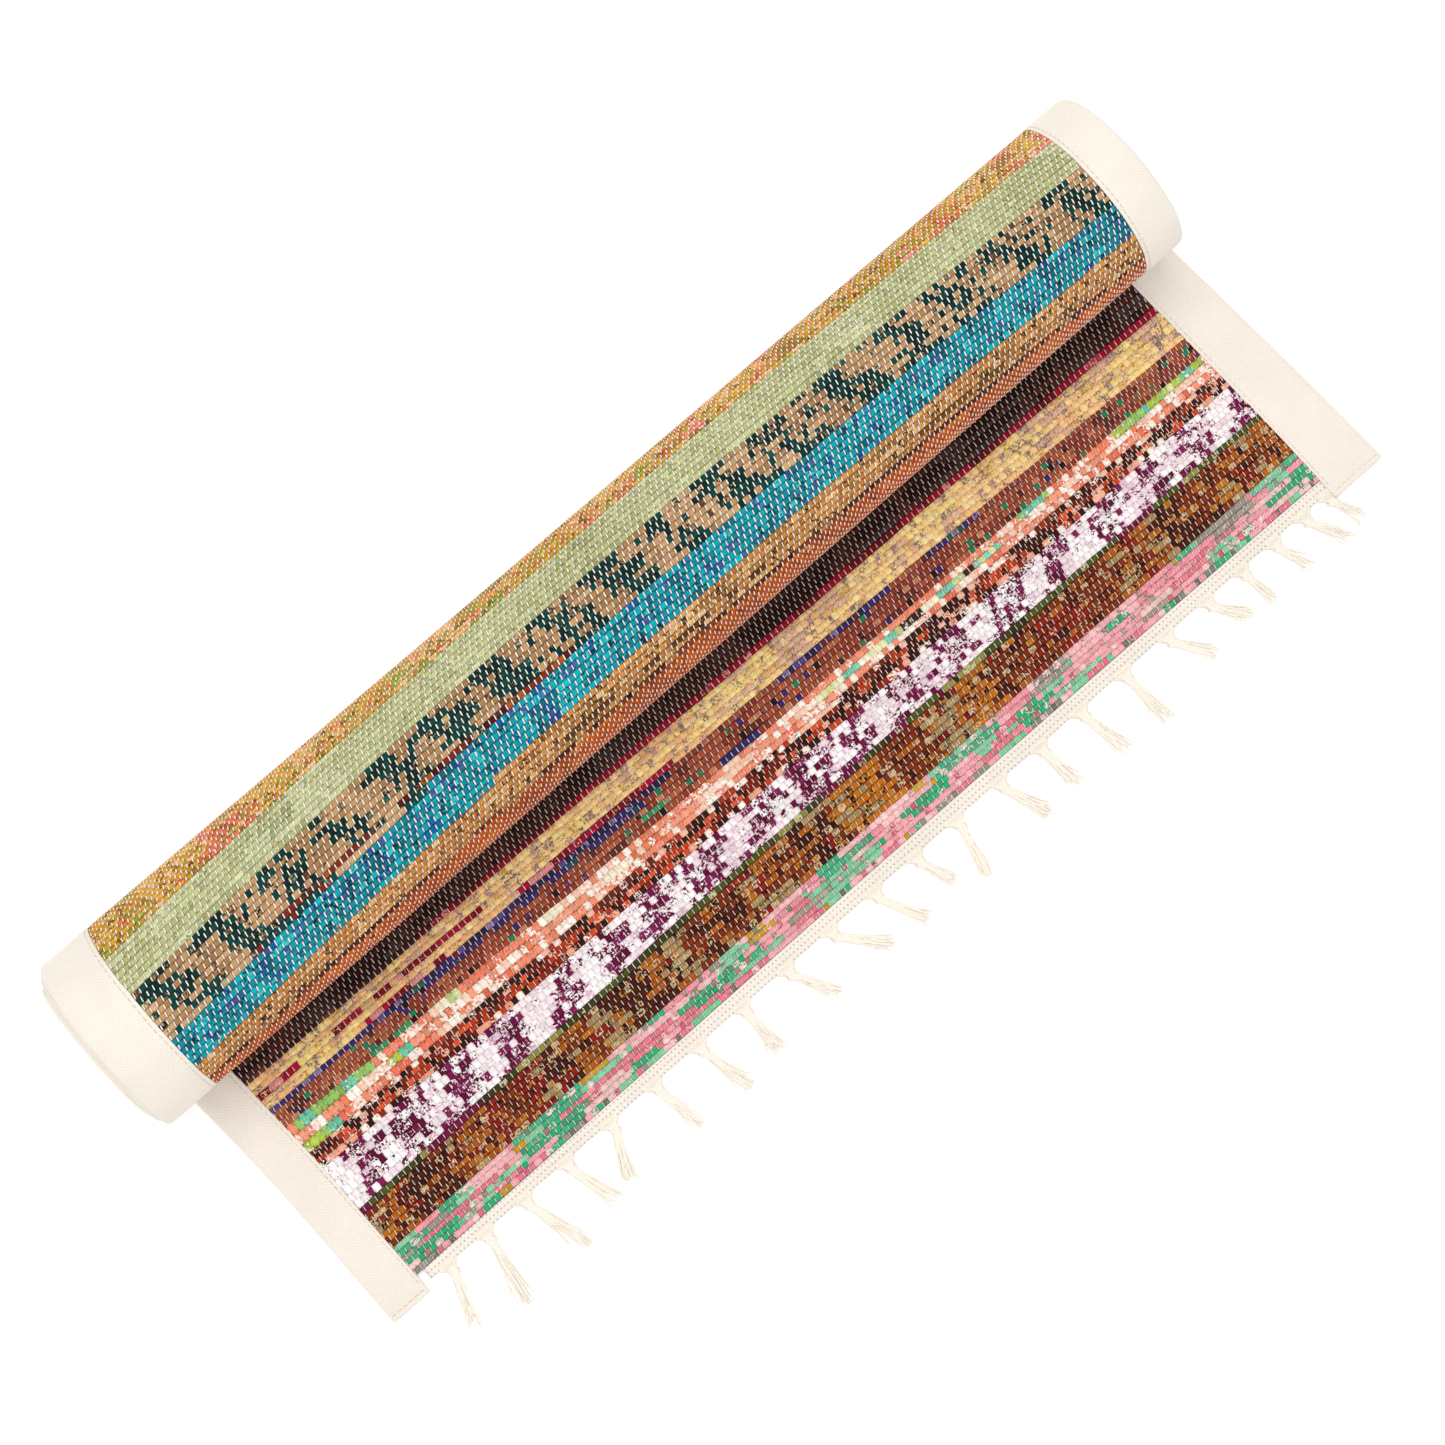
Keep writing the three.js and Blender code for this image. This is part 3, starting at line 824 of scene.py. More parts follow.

# %% [markdown]
# ## Bleached cotton yarn and canvas
#
# The warps, the heading and the tassels are white cotton yarn, two threads plied together. The bands are
# a plain canvas of the same cotton. Both are warm white and fully matt; their colour is darkened as
# painted shade where the threads dip. Real canvas threads stand half a millimetre apart, which is too fine
# to show at this size, so they are drawn at 0.9 mm. The heading is woven more openly, at 1.3 mm, with rows
# of small gaps where the needle went through, painted in as shade.

# %% Cotton materials


def woven_cotton(name, thread, pit_rows=()):
    """Plain white weave. pit_rows: distances from the knots of the rows of gaps between warps, painted as
    dots of shade.
    """
    material, tree, shader = new_material(name)
    place = add(tree, "ShaderNodeUVMap", uv_map="cloth")
    warp = add(tree, "ShaderNodeVectorMath", place, (math.pi / thread,) * 3, operation="MULTIPLY")
    u, v, _ = add(tree, "ShaderNodeSeparateXYZ", warp).outputs
    over = chain(tree, MATH, u, ("SINE",))
    weave = chain(tree, MATH, v, ("SINE",), ("MULTIPLY", over))
    grain = add(tree, "ShaderNodeTexNoise", place, 900.0, 4.0, 0.65).outputs[0]
    slub = add(tree, "ShaderNodeVectorMath", place, (60.0, 900.0, 1.0), operation="MULTIPLY")
    slubs = add(tree, "ShaderNodeTexNoise", slub, 1.0, 3.0, 0.6).outputs[0]
    cloudy = add(tree, "ShaderNodeTexNoise", place, 28.0, 3.0, 0.5).outputs[0]
    relief = chain(tree, MATH, weave, ("MULTIPLY_ADD", 0.35, grain))
    relief = chain(tree, MATH, slubs, ("MULTIPLY_ADD", 0.5, relief))
    # The colour follows the relief: painted shade where the threads of the weave dip, and random tone from
    # the grain and slubs.
    tone = add(tree, "ShaderNodeMapRange", relief, 0.2, 1.3, 0.0, 1.0)
    colour = add(tree, "ShaderNodeMix", tone, opaque("E5DBCE"), opaque("F5EDE3"), data_type="RGBA")
    cloud_and_pit_shade = add(tree, "ShaderNodeMapRange", cloudy, 0.35, 0.7, 0.95, 1.02)
    on_row = add(tree, "ShaderNodeSeparateXYZ", place).outputs
    # Each gap where the needle went through is painted shade: a row of dark dots in the colour, with no bump.
    for row in pit_rows:
        beside = chain(tree, MATH, on_row[1], ("SUBTRACT", row), ("ABSOLUTE",))
        in_row = add(tree, "ShaderNodeMapRange", beside, 0.22 * MM, 0.48 * MM, 1.0, 0.0)
        wave = chain(tree, MATH, on_row[0], ("MULTIPLY", math.pi / PIT_PITCH), ("SINE",), ("ABSOLUTE",))
        pit = add(tree, "ShaderNodeMapRange", wave, 0.84, 0.97, 0.0, 0.55)
        pit = chain(tree, MATH, pit, ("MULTIPLY", in_row))
        open_part = chain(tree, MATH, 1.0, ("SUBTRACT", pit))
        cloud_and_pit_shade = chain(tree, MATH, cloud_and_pit_shade, ("MULTIPLY", open_part))
    colour = add(tree, "ShaderNodeVectorMath", colour, cloud_and_pit_shade, operation="SCALE")
    bump = add(tree, "ShaderNodeBump", 0.5, 0.25 * MM, named={"Height": relief})
    tree.links.new(colour.outputs[0], shader.inputs["Base Color"])
    tree.links.new(bump.outputs[0], shader.inputs["Normal"])
    set_shader(shader, Roughness=0.92, Specular_IOR_Level=0.2, Sheen_Weight=0.1)
    return material


def plied_cotton_yarn(name, light, dark):
    """Yarn tubes carry how far along and how far round each point is, so the ply can wind round them."""
    material, tree, shader = new_material(name)
    ply = 2.4 * MM  # length of one twist
    along = add(tree, "ShaderNodeAttribute", attribute_name="yarn_along").outputs["Fac"]
    around = add(tree, "ShaderNodeAttribute", attribute_name="yarn_around").outputs["Fac"]
    strand = chain(tree, MATH, along, ("MULTIPLY_ADD", 1 / ply, around), ("MULTIPLY", 4 * math.pi), ("SINE",))
    place = add(tree, "ShaderNodeTexCoord").outputs["Object"]
    fluff = add(tree, "ShaderNodeTexNoise", place, 1500.0, 3.0, 0.6).outputs[0]
    relief = chain(tree, MATH, strand, ("MULTIPLY_ADD", 0.5, fluff))
    # The colour follows the relief: painted shade in the grooves between the two plies, and random tone from
    # the fluff.
    tone = add(tree, "ShaderNodeMapRange", relief, 0.0, 1.0, 0.0, 1.0)
    colour = add(tree, "ShaderNodeMix", tone, opaque(dark), opaque(light), data_type="RGBA")
    bump = add(tree, "ShaderNodeBump", 0.5, 0.15 * MM, named={"Height": relief})
    tree.links.new(colour.outputs[2], shader.inputs["Base Color"])
    tree.links.new(bump.outputs[0], shader.inputs["Normal"])
    set_shader(shader, Roughness=0.9, Specular_IOR_Level=0.2, Sheen_Weight=0.15)
    return material


CANVAS_THREAD = 0.9 * MM
HEADING_THREAD = 1.3 * MM
PIT_PITCH = 2.2 * MM  # from one gap in a row to the next
PIT_ROWS = (4.9 * MM, 7.4 * MM, 9.9 * MM)
canvas = woven_cotton("bleached_cotton_canvas", CANVAS_THREAD)
heading_cloth = woven_cotton("bleached_cotton_heading", HEADING_THREAD, PIT_ROWS)
sewing_thread = plied_cotton_yarn("cotton_sewing_thread", "EADDC8", "C4B296")
warp_yarn = plied_cotton_yarn("plied_cotton_warp", "FFFDF6", "F2E4CE")
print("made", canvas.name, "and", warp_yarn.name)

# %% [markdown]
# ## Weaving the stretches
#
# One mesh of the whole cloth would be far too heavy, so the cloth is made in full-width stretches that
# meet in the gap between two picks. The first rides on the free end, the second runs up to the hinge,
# and the rest stay with the roll. The inner turns are only ever seen edge-on, so they are coarse.

# %% The stretches of the ground


def picks_before(mark):
    """The number of picks woven before a distance along the rug, counted in the middle."""
    centre = np.zeros(1)
    number = 0
    while pick_line(number, centre)[0] < mark:
        number += 1
    return number


BODY_ROLL, BODY_FREE = "roll", "free_end"
FIRST_CUT = picks_before(82.0 * MM)
ROLL_CUT = picks_before(FLAT)
SECOND_CUT = picks_before(270 * MM)
THIRD_CUT = picks_before(362 * MM)
LAST_CUT = sum(item["picks"] for item in SHOWN_STRIPES)
ALL_PICKS = LAST_CUT + HIDDEN_PICKS
RELIEF = (weave_relief, RELIEF_SIZES)


def stretch_length(first, last):
    centre = np.zeros(1)
    return float(pick_line(last, centre)[0] - pick_line(first, centre)[0])


FLAT_FACES = (("_top", 1, -5), ("_under", -1, 5))  # for the warps: name, face and slant in degrees
ROLL_FACES = (("", -1, 11),)
STRETCHES = [  # name, first and last pick, the face that is seen, steps on the other face, faces with warps
    ("free_end", 0, FIRST_CUT, 1, (2, 2), FLAT_FACES),
    ("bend", FIRST_CUT, ROLL_CUT, 1, (2, 2), FLAT_FACES),
    ("roll_back", ROLL_CUT, SECOND_CUT, -1, (1, 1), ROLL_FACES),
    ("roll_top", SECOND_CUT, THIRD_CUT, -1, (1, 1), ROLL_FACES),
    ("roll_front", THIRD_CUT, LAST_CUT, -1, (1, 1), ROLL_FACES),
]
ground = {}
for stretch, first, last, seen, coarse, _ in STRETCHES:
    flat_cloth = cloth_object("flat_cloth", first, last, seen, coarse)
    ground[stretch] = rolled(flat_cloth, f"ground_{stretch}", rag_cotton, RELIEF)
    triangles = sum(len(face.vertices) - 2 for face in ground[stretch].data.polygons)
    print(ground[stretch].name, triangles, "triangles")

# %% [markdown]
# The inner turns use the same picks with far fewer columns, and no relief.

# %% The inner turns
SAMPLE_CELL = 20  # each inner pick is the colour of this one of its cells all over


def inner_cloth(name, first_pick, last_pick):
    across = np.concatenate([[-SELVEDGE, -CLOTH_HALF], np.linspace(-0.2, 0.2, 5), [CLOTH_HALF, SELVEDGE]])
    picks = np.arange(first_pick, last_pick + 1)
    along = np.array([pick_line(pick, across) for pick in picks])
    slab = slab_at(across, along) - 0.1 * MM
    shape = along.shape
    points = np.concatenate([flat_points(across, along, slab), flat_points(across, along, -slab)])
    quads, edges = slab_faces(shape, shape)
    faces = [*quads, *edges]
    piece = mesh_object(name, points, faces=faces)
    numbers = np.broadcast_to(picks[:, None] + 0.5, shape).ravel()
    weave = np.stack([np.tile(across / PICK, shape[0]), numbers, slab.ravel()], axis=-1)
    weave = np.concatenate([weave, weave])
    store(piece.data, "weave", "FLOAT_VECTOR", "POINT", weave)
    colour = RAGS[[int(min(weave[list(face), 1])) for face in faces], SAMPLE_CELL]
    paint_faces(piece.data, colour, colour, np.zeros(len(faces)))
    return piece


inner_flat = inner_cloth("flat_cloth", LAST_CUT, ALL_PICKS)
ground["inner_turns"] = rolled(inner_flat, "ground_inner_turns", rag_cotton)
print(ground["inner_turns"].name, len(ground["inner_turns"].data.polygons), "faces")

# %% [markdown]
# ## The bands
#
# Each band is a strip of canvas folded over the edge of the cloth and sewn through. Its section is a
# narrow C: a top layer, a soft rounded fold outside, and a bottom layer. A thin tube would have looked
# the same from above, but from the ends of the roll the two layers and the cloth between them show.

# %% The section of a band
BAND_LIFT = THICKNESS / 2 + 0.10 * MM  # the outside of the canvas above the middle of the cloth
FOLD = HALF_WIDTH - 0.5 * MM  # how far out the fold lies
SEAM_IN = 1.6 * MM  # the seam lies this far inside the band's inner edge
HEM = 4.6 * MM  # how much of the band's end is turned under
HEM_THICK = 0.22 * MM  # how much higher the band lies there


def band_section(width):
    """Points round the C as (distance in from the fold, lift): its outside, and its inside, coming back."""
    upper = [
        (width, BAND_LIFT - 0.30 * MM),
        (width - 0.15 * MM, BAND_LIFT - 0.06 * MM),
        (width - 0.6 * MM, BAND_LIFT),
        (width - SEAM_IN, BAND_LIFT - 0.24 * MM),
        (width - 2 * SEAM_IN, BAND_LIFT - 0.02 * MM),
        (width * 0.7, BAND_LIFT),
        (width * 0.45, BAND_LIFT),
        (width * 0.2, BAND_LIFT - 0.02 * MM),
        (1.7 * MM, BAND_LIFT - 0.12 * MM),
        (0.7 * MM, BAND_LIFT - 0.45 * MM),
        (0.15 * MM, BAND_LIFT - 1.0 * MM),
    ]
    outside = upper + [(0.0, 0.0)] + [(place, -lift) for place, lift in upper[::-1]]
    inner_lift = BAND_LIFT - CANVAS
    inner = [
        (width, inner_lift),
        (width * 0.45, inner_lift),
        (1.9 * MM, inner_lift - 0.1 * MM),
        (0.9 * MM, inner_lift - 0.5 * MM),
    ]
    inside = [(place, -lift) for place, lift in inner] + [(0.55 * MM, 0.0)] + inner[::-1]
    return np.array(outside), np.array(inside)


def band_edge(along, side):
    return wander(along, 120 * MM, 91 + side, 0.5 * MM)


def hem_lift(along):
    """The band's end is turned under as far as the hem, so it is thicker there, with a dent at the seam."""
    thick = HEM_THICK * (1 - smooth(along, HEM, HEM + 1.5 * MM))
    dent = 0.22 * MM * np.exp(-((along - HEM + SEAM_IN) / (0.7 * MM)) ** 2)
    return thick - dent


def lay_uv(mesh, places):
    """Stores where each point lies on the flat cotton, for its weave."""
    layer = mesh.uv_layers.new(name="cloth")
    corner = np.zeros(len(mesh.loops), int)
    mesh.loops.foreach_get("vertex_index", corner)
    layer.data.foreach_set("uv", places[corner].astype(np.float32).ravel())


def band_object(name, side, widths, stations):
    """side is -1 for the left band and +1 for the right one."""
    rows, uvs = [], []
    soft = wander(stations, 11 * MM, 31 + side, 0.10 * MM) + wander(stations, 4 * MM, 61 + side, 0.05 * MM)
    edge = band_edge(stations, side)
    hem = hem_lift(stations)
    for number, along in enumerate(stations):
        outside, inside = band_section(float(band_width(widths, np.array([along]))[0]))
        section = np.concatenate([outside, inside])
        place, lift = section.T
        lift = lift + np.sign(lift) * (soft[number] + hem[number]) * smooth(place, 1 * MM, 4 * MM)
        across = side * (FOLD + edge[number] - place)
        rows.append(flat_points(across, along, lift))
        steps = np.hypot(*np.diff(section, axis=0).T)
        girth = np.concatenate([[0], np.cumsum(steps)])
        uvs.append(np.stack([girth, np.full(len(girth), along)], axis=-1))
    points = np.concatenate(rows)
    index = np.arange(len(points)).reshape(len(rows), -1)
    around = np.roll(index, -1, axis=1)
    quads = np.stack([index[:-1], around[:-1], around[1:], index[1:]], axis=-1).reshape(-1, 4)
    quads = quads if side < 0 else quads[:, ::-1]
    caps = []
    for row, turned in ((index[0], side < 0), (index[-1], side > 0)):
        for triangle in close_edges([row[:len(outside)]], [row[len(outside):][::-1]]):
            caps.append(triangle if turned else triangle[::-1])
    piece = mesh_object(name, points, faces=[*quads, *caps])
    lay_uv(piece.data, np.concatenate(uvs))
    return piece


# %% Folding the bands on
BAND_START = 0.5 * MM
HEM_END = HEM + 2 * MM
STEP_HEM = 0.6 * MM
STEP_FLAT = 2.5 * MM
STEP_ROLL = 3.6 * MM
SHORTEST_STEP = 1.2 * MM


def stations_between(start, end, step):
    return np.linspace(start, end, max(2, round((end - start) / step)) + 1)


def turns_stations(start, end):
    """Steps that shrink with the radius, so that the inner turns stay round."""
    places = [start]
    while places[-1] < end:
        wound = max(places[-1] - FLAT, 0)
        radius = math.sqrt(max(OUTER_RADIUS ** 2 - wound * PITCH / math.pi, CORE_LEFT))
        places.append(places[-1] + max(radius * STEP_ROLL / OUTER_RADIUS, SHORTEST_STEP))
    places[-1] = end
    return np.array(places)


hem_stations = stations_between(BAND_START, HEM_END, STEP_HEM)
flat_stations = np.concatenate([hem_stations[:-1], stations_between(HEM_END, FLAT, STEP_FLAT)])
roll_stations = turns_stations(FLAT, RUG_LENGTH - BAND_START)
bands = {}
for side, side_name, widths in ((-1, "left", LEFT_BAND), (1, "right", RIGHT_BAND)):
    for end_name, stations in (("free_end", flat_stations), ("roll", roll_stations)):
        name = f"{side_name}_band_{end_name}"
        bands[name] = rolled(band_object("flat_band", side, widths, stations), name, canvas)
        print(name, len(bands[name].data.polygons), "faces")

# %% [markdown]
# ## Warps over the rags
#
# Between two cells the pair of warps comes up over the rag and shows as a short cream dash. There are
# tens of thousands of them and all are alike, which is what instances are for: one small spindle, put on
# every crossing, a little longer or shorter each time. The twist of the yarn turns each dash a little
# aslant, the same way on both faces of the cloth.

# %% The warp_dashes tree
DASH_SIZES = {
    "Length": 2.9 * MM,
    "Width": 0.66 * MM,
    "Height": 1.15 * MM,
    "Slant": 0.0,
    "Seed": 3.0,
}


def spindle():
    """A dash one metre long, wide and high, with pointed ends: twelve faces, scaled down by the tree."""
    rings = [(-0.32, 0.5), (0.32, 0.5)]
    points = [(-0.5, 0, 0)]
    for x, size in rings:
        points += [(x, size * math.cos(a), size * math.sin(a)) for a in np.radians([90, 210, 330])]
    points.append((0.5, 0, 0))
    faces = [(0, 1 + (k + 1) % 3, 1 + k) for k in range(3)]
    faces += [(1 + k, 1 + (k + 1) % 3, 4 + (k + 1) % 3, 4 + k) for k in range(3)]
    faces += [(7, 4 + k, 4 + (k + 1) % 3) for k in range(3)]
    return mesh_object("spindle", points, faces=faces)


def build_warp_dashes(dash):
    tree, sizes = new_geometry_tree("warp_dashes", DASH_SIZES)
    length, width, height, slant, seed = [sizes.outputs[name] for name in DASH_SIZES]
    shape = add(tree, "GeometryNodeObjectInfo", dash)
    seed_number = add(tree, "FunctionNodeFloatToInt", seed)
    vary = add(tree, "FunctionNodeRandomValue", (0.86, 0.8, 0.8), (1.12, 1.15, 1.1),
               named={"Seed": seed_number}, data_type="FLOAT_VECTOR")
    size = add(tree, "ShaderNodeCombineXYZ", length, width, height)
    size = add(tree, "ShaderNodeVectorMath", size, vary, operation="MULTIPLY")
    turn = add(tree, "ShaderNodeCombineXYZ", None, None, slant)
    put = add(tree, "GeometryNodeInstanceOnPoints", sizes.outputs["Geometry"],
              named={"Instance": shape.outputs["Geometry"], "Rotation": turn, "Scale": size})
    return end_geometry_tree(tree, sizes, put)


spindle_object = spindle()
warp_dashes = build_warp_dashes(spindle_object)


DASH_SUNK = 0.42 * MM  # the middle of a dash lies this far below the face of the cloth
SHOWS = 0.25 * MM  # a warp that is pressed down further than this is under a band


def crossings(first_pick, last_pick, side):
    """A point on every crossing of one face that the bands leave open."""
    points = []
    for pick in range(first_pick, last_pick):
        cells = np.arange(FIRST_CELL, LAST_CELL + 1) - 0.5 * (pick % 2)
        across = cell_place(cells)
        along = (pick_line(pick, across) + pick_line(pick + 1, across)) / 2
        slab = slab_at(across, along)
        shown = slab > THICKNESS / 2 - SHOWS
        points.append(flat_points(across, along, side * (slab - DASH_SUNK))[shown])
    return mesh_object("crossings", np.concatenate(points))


dashes = {}
for stretch, first, last, _, _, faces in STRETCHES:
    for face_name, side, slant in faces:
        name = f"warps_{stretch}{face_name}"
        step = (warp_dashes, {**DASH_SIZES, "Slant": math.radians(slant)})
        dashes[name] = rolled(crossings(first, last, side), name, warp_yarn, step)
        print(name, len(dashes[name].data.polygons), "faces")

# %% [markdown]
# ## The sewing
#
# One row of stitches just inside the inner edge holds each band, through both layers, and another crosses
# the turned-under end. A stitch is the same little spindle as a warp dash, only finer.

# %% Stitches
STITCH = 3.3 * MM
STITCH_SIZES = {"Length": 2.6 * MM, "Width": 0.40 * MM, "Height": 0.5 * MM, "Slant": 0.0, "Seed": 5.0}
ON_CANVAS = BAND_LIFT - 0.16 * MM  # the thread sinks into the dent of its own seam


def both_faces(across, along, lift):
    return np.concatenate([flat_points(across, along, lift), flat_points(across, along, -lift)])


def seam_points(side, widths, start, end):
    """One point for every stitch of the long seam, on both faces."""
    along = np.arange(start + STITCH, end - STITCH / 2, STITCH)
    in_from_fold = band_width(widths, along) - SEAM_IN
    across = side * (FOLD + band_edge(along, side) - in_from_fold)
    return both_faces(across, along, ON_CANVAS)


def hem_points(side, widths):
    """One point for every stitch across the turned-under end, on both faces."""
    along = np.full(1, HEM - SEAM_IN)
    in_from_fold = np.arange(2.4 * MM, band_width(widths, along)[0] - SEAM_IN, STITCH)
    across = side * (FOLD + band_edge(along, side) - in_from_fold)
    return both_faces(across, along, ON_CANVAS + HEM_THICK)


def stitches(name, points, slant):
    step = (warp_dashes, {**STITCH_SIZES, "Slant": slant})
    return rolled(mesh_object("stitch_points", points), name, sewing_thread, step)


seams_free, seams_roll = [], []
for side, side_name, widths in ((-1, "left", LEFT_BAND), (1, "right", RIGHT_BAND)):
    long_seam = seam_points(side, widths, HEM, FLAT)
    seams_free.append(stitches(f"{side_name}_seam_free_end", long_seam, 0.0))
    seams_free.append(stitches(f"{side_name}_hem_free_end", hem_points(side, widths), math.pi / 2))
    roll_seam = seam_points(side, widths, FLAT, RUG_LENGTH - HEM)
    seams_roll.append(stitches(f"{side_name}_seam_roll", roll_seam, 0.0))
bpy.data.objects.remove(spindle_object)
print("sewn", [piece.name for piece in seams_free + seams_roll])

# %% [markdown]
# ## The headings
#
# A few picks of cotton instead of rag close each end. The heading's outer edge is scalloped, because
# every bundle of warps draws it out towards its own knot.

# %% Where the tassels are
BUNDLES = [6, 7, 7, 8, 8, 8, 8, 8, 8, 8, 8, 7, 8, 8, 7, 8, 8, 8, 7, 6, 6, 5, 4]  # pairs of warps in each
LEANS = [-19, -10, 15, 14, -25, 10, 13, -1, 30, 42, 25, 20, -14, 20, 4, 11, 4, 32, 37, 6, 17, 30, 20]
TAILS = [26, 33, 32, 25, 23, 24, 26, 22, 23, 26, 24, 18, 25, 24, 21, 25, 26, 21, 19, 17, 17, 22, 16]
WARP_PITCH = 2 * CLOTH_HALF / sum(BUNDLES)
KNOT_PLACES = -CLOTH_HALF + (np.cumsum(BUNDLES) - np.array(BUNDLES) / 2) * WARP_PITCH
HEADING_THICK = 2.0 * MM
HEADING_EDGE = 4.2 * MM  # the outer edge between two tassels
HEADING_ROWS = 25
RIB_HEIGHT = 0.07 * MM  # each cotton pick of the heading stands up a little
RIB_PITCH = 1.25 * MM
WEB = 4.2 * MM  # half the width of the cloth drawn out towards a knot


def heading_object(inner_end):
    across = np.unique(np.concatenate([
        np.linspace(-CLOTH_HALF, CLOTH_HALF, 200),
        *[np.linspace(place - 1.6 * WEB, place + 1.6 * WEB, 13) for place in KNOT_PLACES],
    ]))
    across = across[np.abs(across) <= CLOTH_HALF]
    nearest = np.min(np.abs(across[:, None] - KNOT_PLACES), axis=1)
    drawn = 1 - smooth(nearest, 0.35 * WEB, 1.5 * WEB)
    outer = HEADING_EDGE - (HEADING_EDGE - 1.0 * MM) * drawn + wander(across, 5 * MM, 8, 0.25 * MM)
    inner = end_line(WEAVE_START, across) - 0.2 * MM
    if inner_end:
        inner = np.full_like(across, HEADING_END - 0.3 * MM)
    shares = np.linspace(0, 1, HEADING_ROWS)[:, None]
    along = outer + (inner - outer) * shares
    ribs = RIB_HEIGHT * np.cos(along / RIB_PITCH * 2 * math.pi)
    edge = np.minimum(along - outer, 1.0 * MM) / MM
    slab = HEADING_THICK / 2 * (0.35 + 0.65 * np.sqrt(edge)) + ribs * edge
    low = HEADING_THICK / 2 - THICKNESS / 2  # it lies on the floor, though it is thinner than the cloth
    if inner_end:
        along = RUG_LENGTH - along
        across = -across
    across = np.broadcast_to(across, along.shape)
    points = np.concatenate([flat_points(across, along, low + slab), flat_points(across, along, low - slab)])
    quads, edges = slab_faces(along.shape, along.shape)
    piece = mesh_object("flat_heading", points, faces=[*quads, *edges])
    flat_uv = np.stack([across.ravel(), along.ravel()], axis=-1)
    lay_uv(piece.data, np.concatenate([flat_uv, flat_uv]))
    return piece


heading_free = rolled(heading_object(False), "heading_free_end", heading_cloth)
heading_inner = rolled(heading_object(True), "heading_inner_end", heading_cloth)
print("headings", len(heading_free.data.polygons), "faces each")

# %% [markdown]
# ## The tassels
#
# A bundle of warps is drawn together, tied in one overhand knot and left to hang. Each yarn is a line of
# points that follows the hand: out of the heading, into the neck, through the knot, and apart again in
# the tail. A Geometry Nodes tree turns the lines into round yarns, and notes on every point how far along
# and how far round it is, so the material can wind the ply.

# %% The yarn tree
YARN_SIZES = {"Radius": 0.42 * MM}
YARN_SIDES = 5


def build_yarn():
    tree, sizes = new_geometry_tree("yarn", YARN_SIZES)
    lines = add(tree, "GeometryNodeMeshToCurve", sizes.outputs["Geometry"])
    length = add(tree, "GeometryNodeSplineParameter").outputs["Length"]
    lines = add(tree, "GeometryNodeStoreNamedAttribute", lines, None, "yarn_along", length,
                data_type="FLOAT", domain="POINT")
    thin = add(tree, "GeometryNodeInputNamedAttribute", "thin", data_type="FLOAT")
    lines = add(tree, "GeometryNodeSetCurveRadius", lines, None, thin)
    ring = add(tree, "GeometryNodeCurvePrimitiveCircle", YARN_SIDES,
               named={"Radius": sizes.outputs["Radius"]})
    share = add(tree, "GeometryNodeSplineParameter").outputs["Factor"]
    ring = add(tree, "GeometryNodeStoreNamedAttribute", ring, None, "yarn_around", share,
               data_type="FLOAT", domain="POINT")
    tube = add(tree, "GeometryNodeCurveToMesh", lines, ring, named={"Fill Caps": True})
    return end_geometry_tree(tree, sizes, tube)


yarn = build_yarn()
YARN = (yarn, YARN_SIZES)


def lines_object(lines, thins):
    """Lines of points (across, along, lift) as a mesh of edges, with how thin each point is."""
    points, edges = [], []
    for line in lines:
        first = len(points)
        across, along, lift = np.array(line).T
        points += flat_points(across, along, lift).tolist()
        edges += [(first + step, first + step + 1) for step in range(len(line) - 1)]
    piece = mesh_object("tassel_lines", points, edges)
    store(piece.data, "thin", "FLOAT", "POINT", np.concatenate(thins))
    return piece


# %% Tying the tassels
NECK = 2.2 * MM  # half the width of the bundle beside its knot
TAIL_START = 1.2 * MM  # where the tail comes out of the knot
TAIL_STEPS = 12
KNOT_RADIUS = 2.3 * MM
KNOT_YARNS = 5
KNOT_STEPS = 16
KNOT_PITCH = 0.72 * MM  # from one yarn of the knot to the next


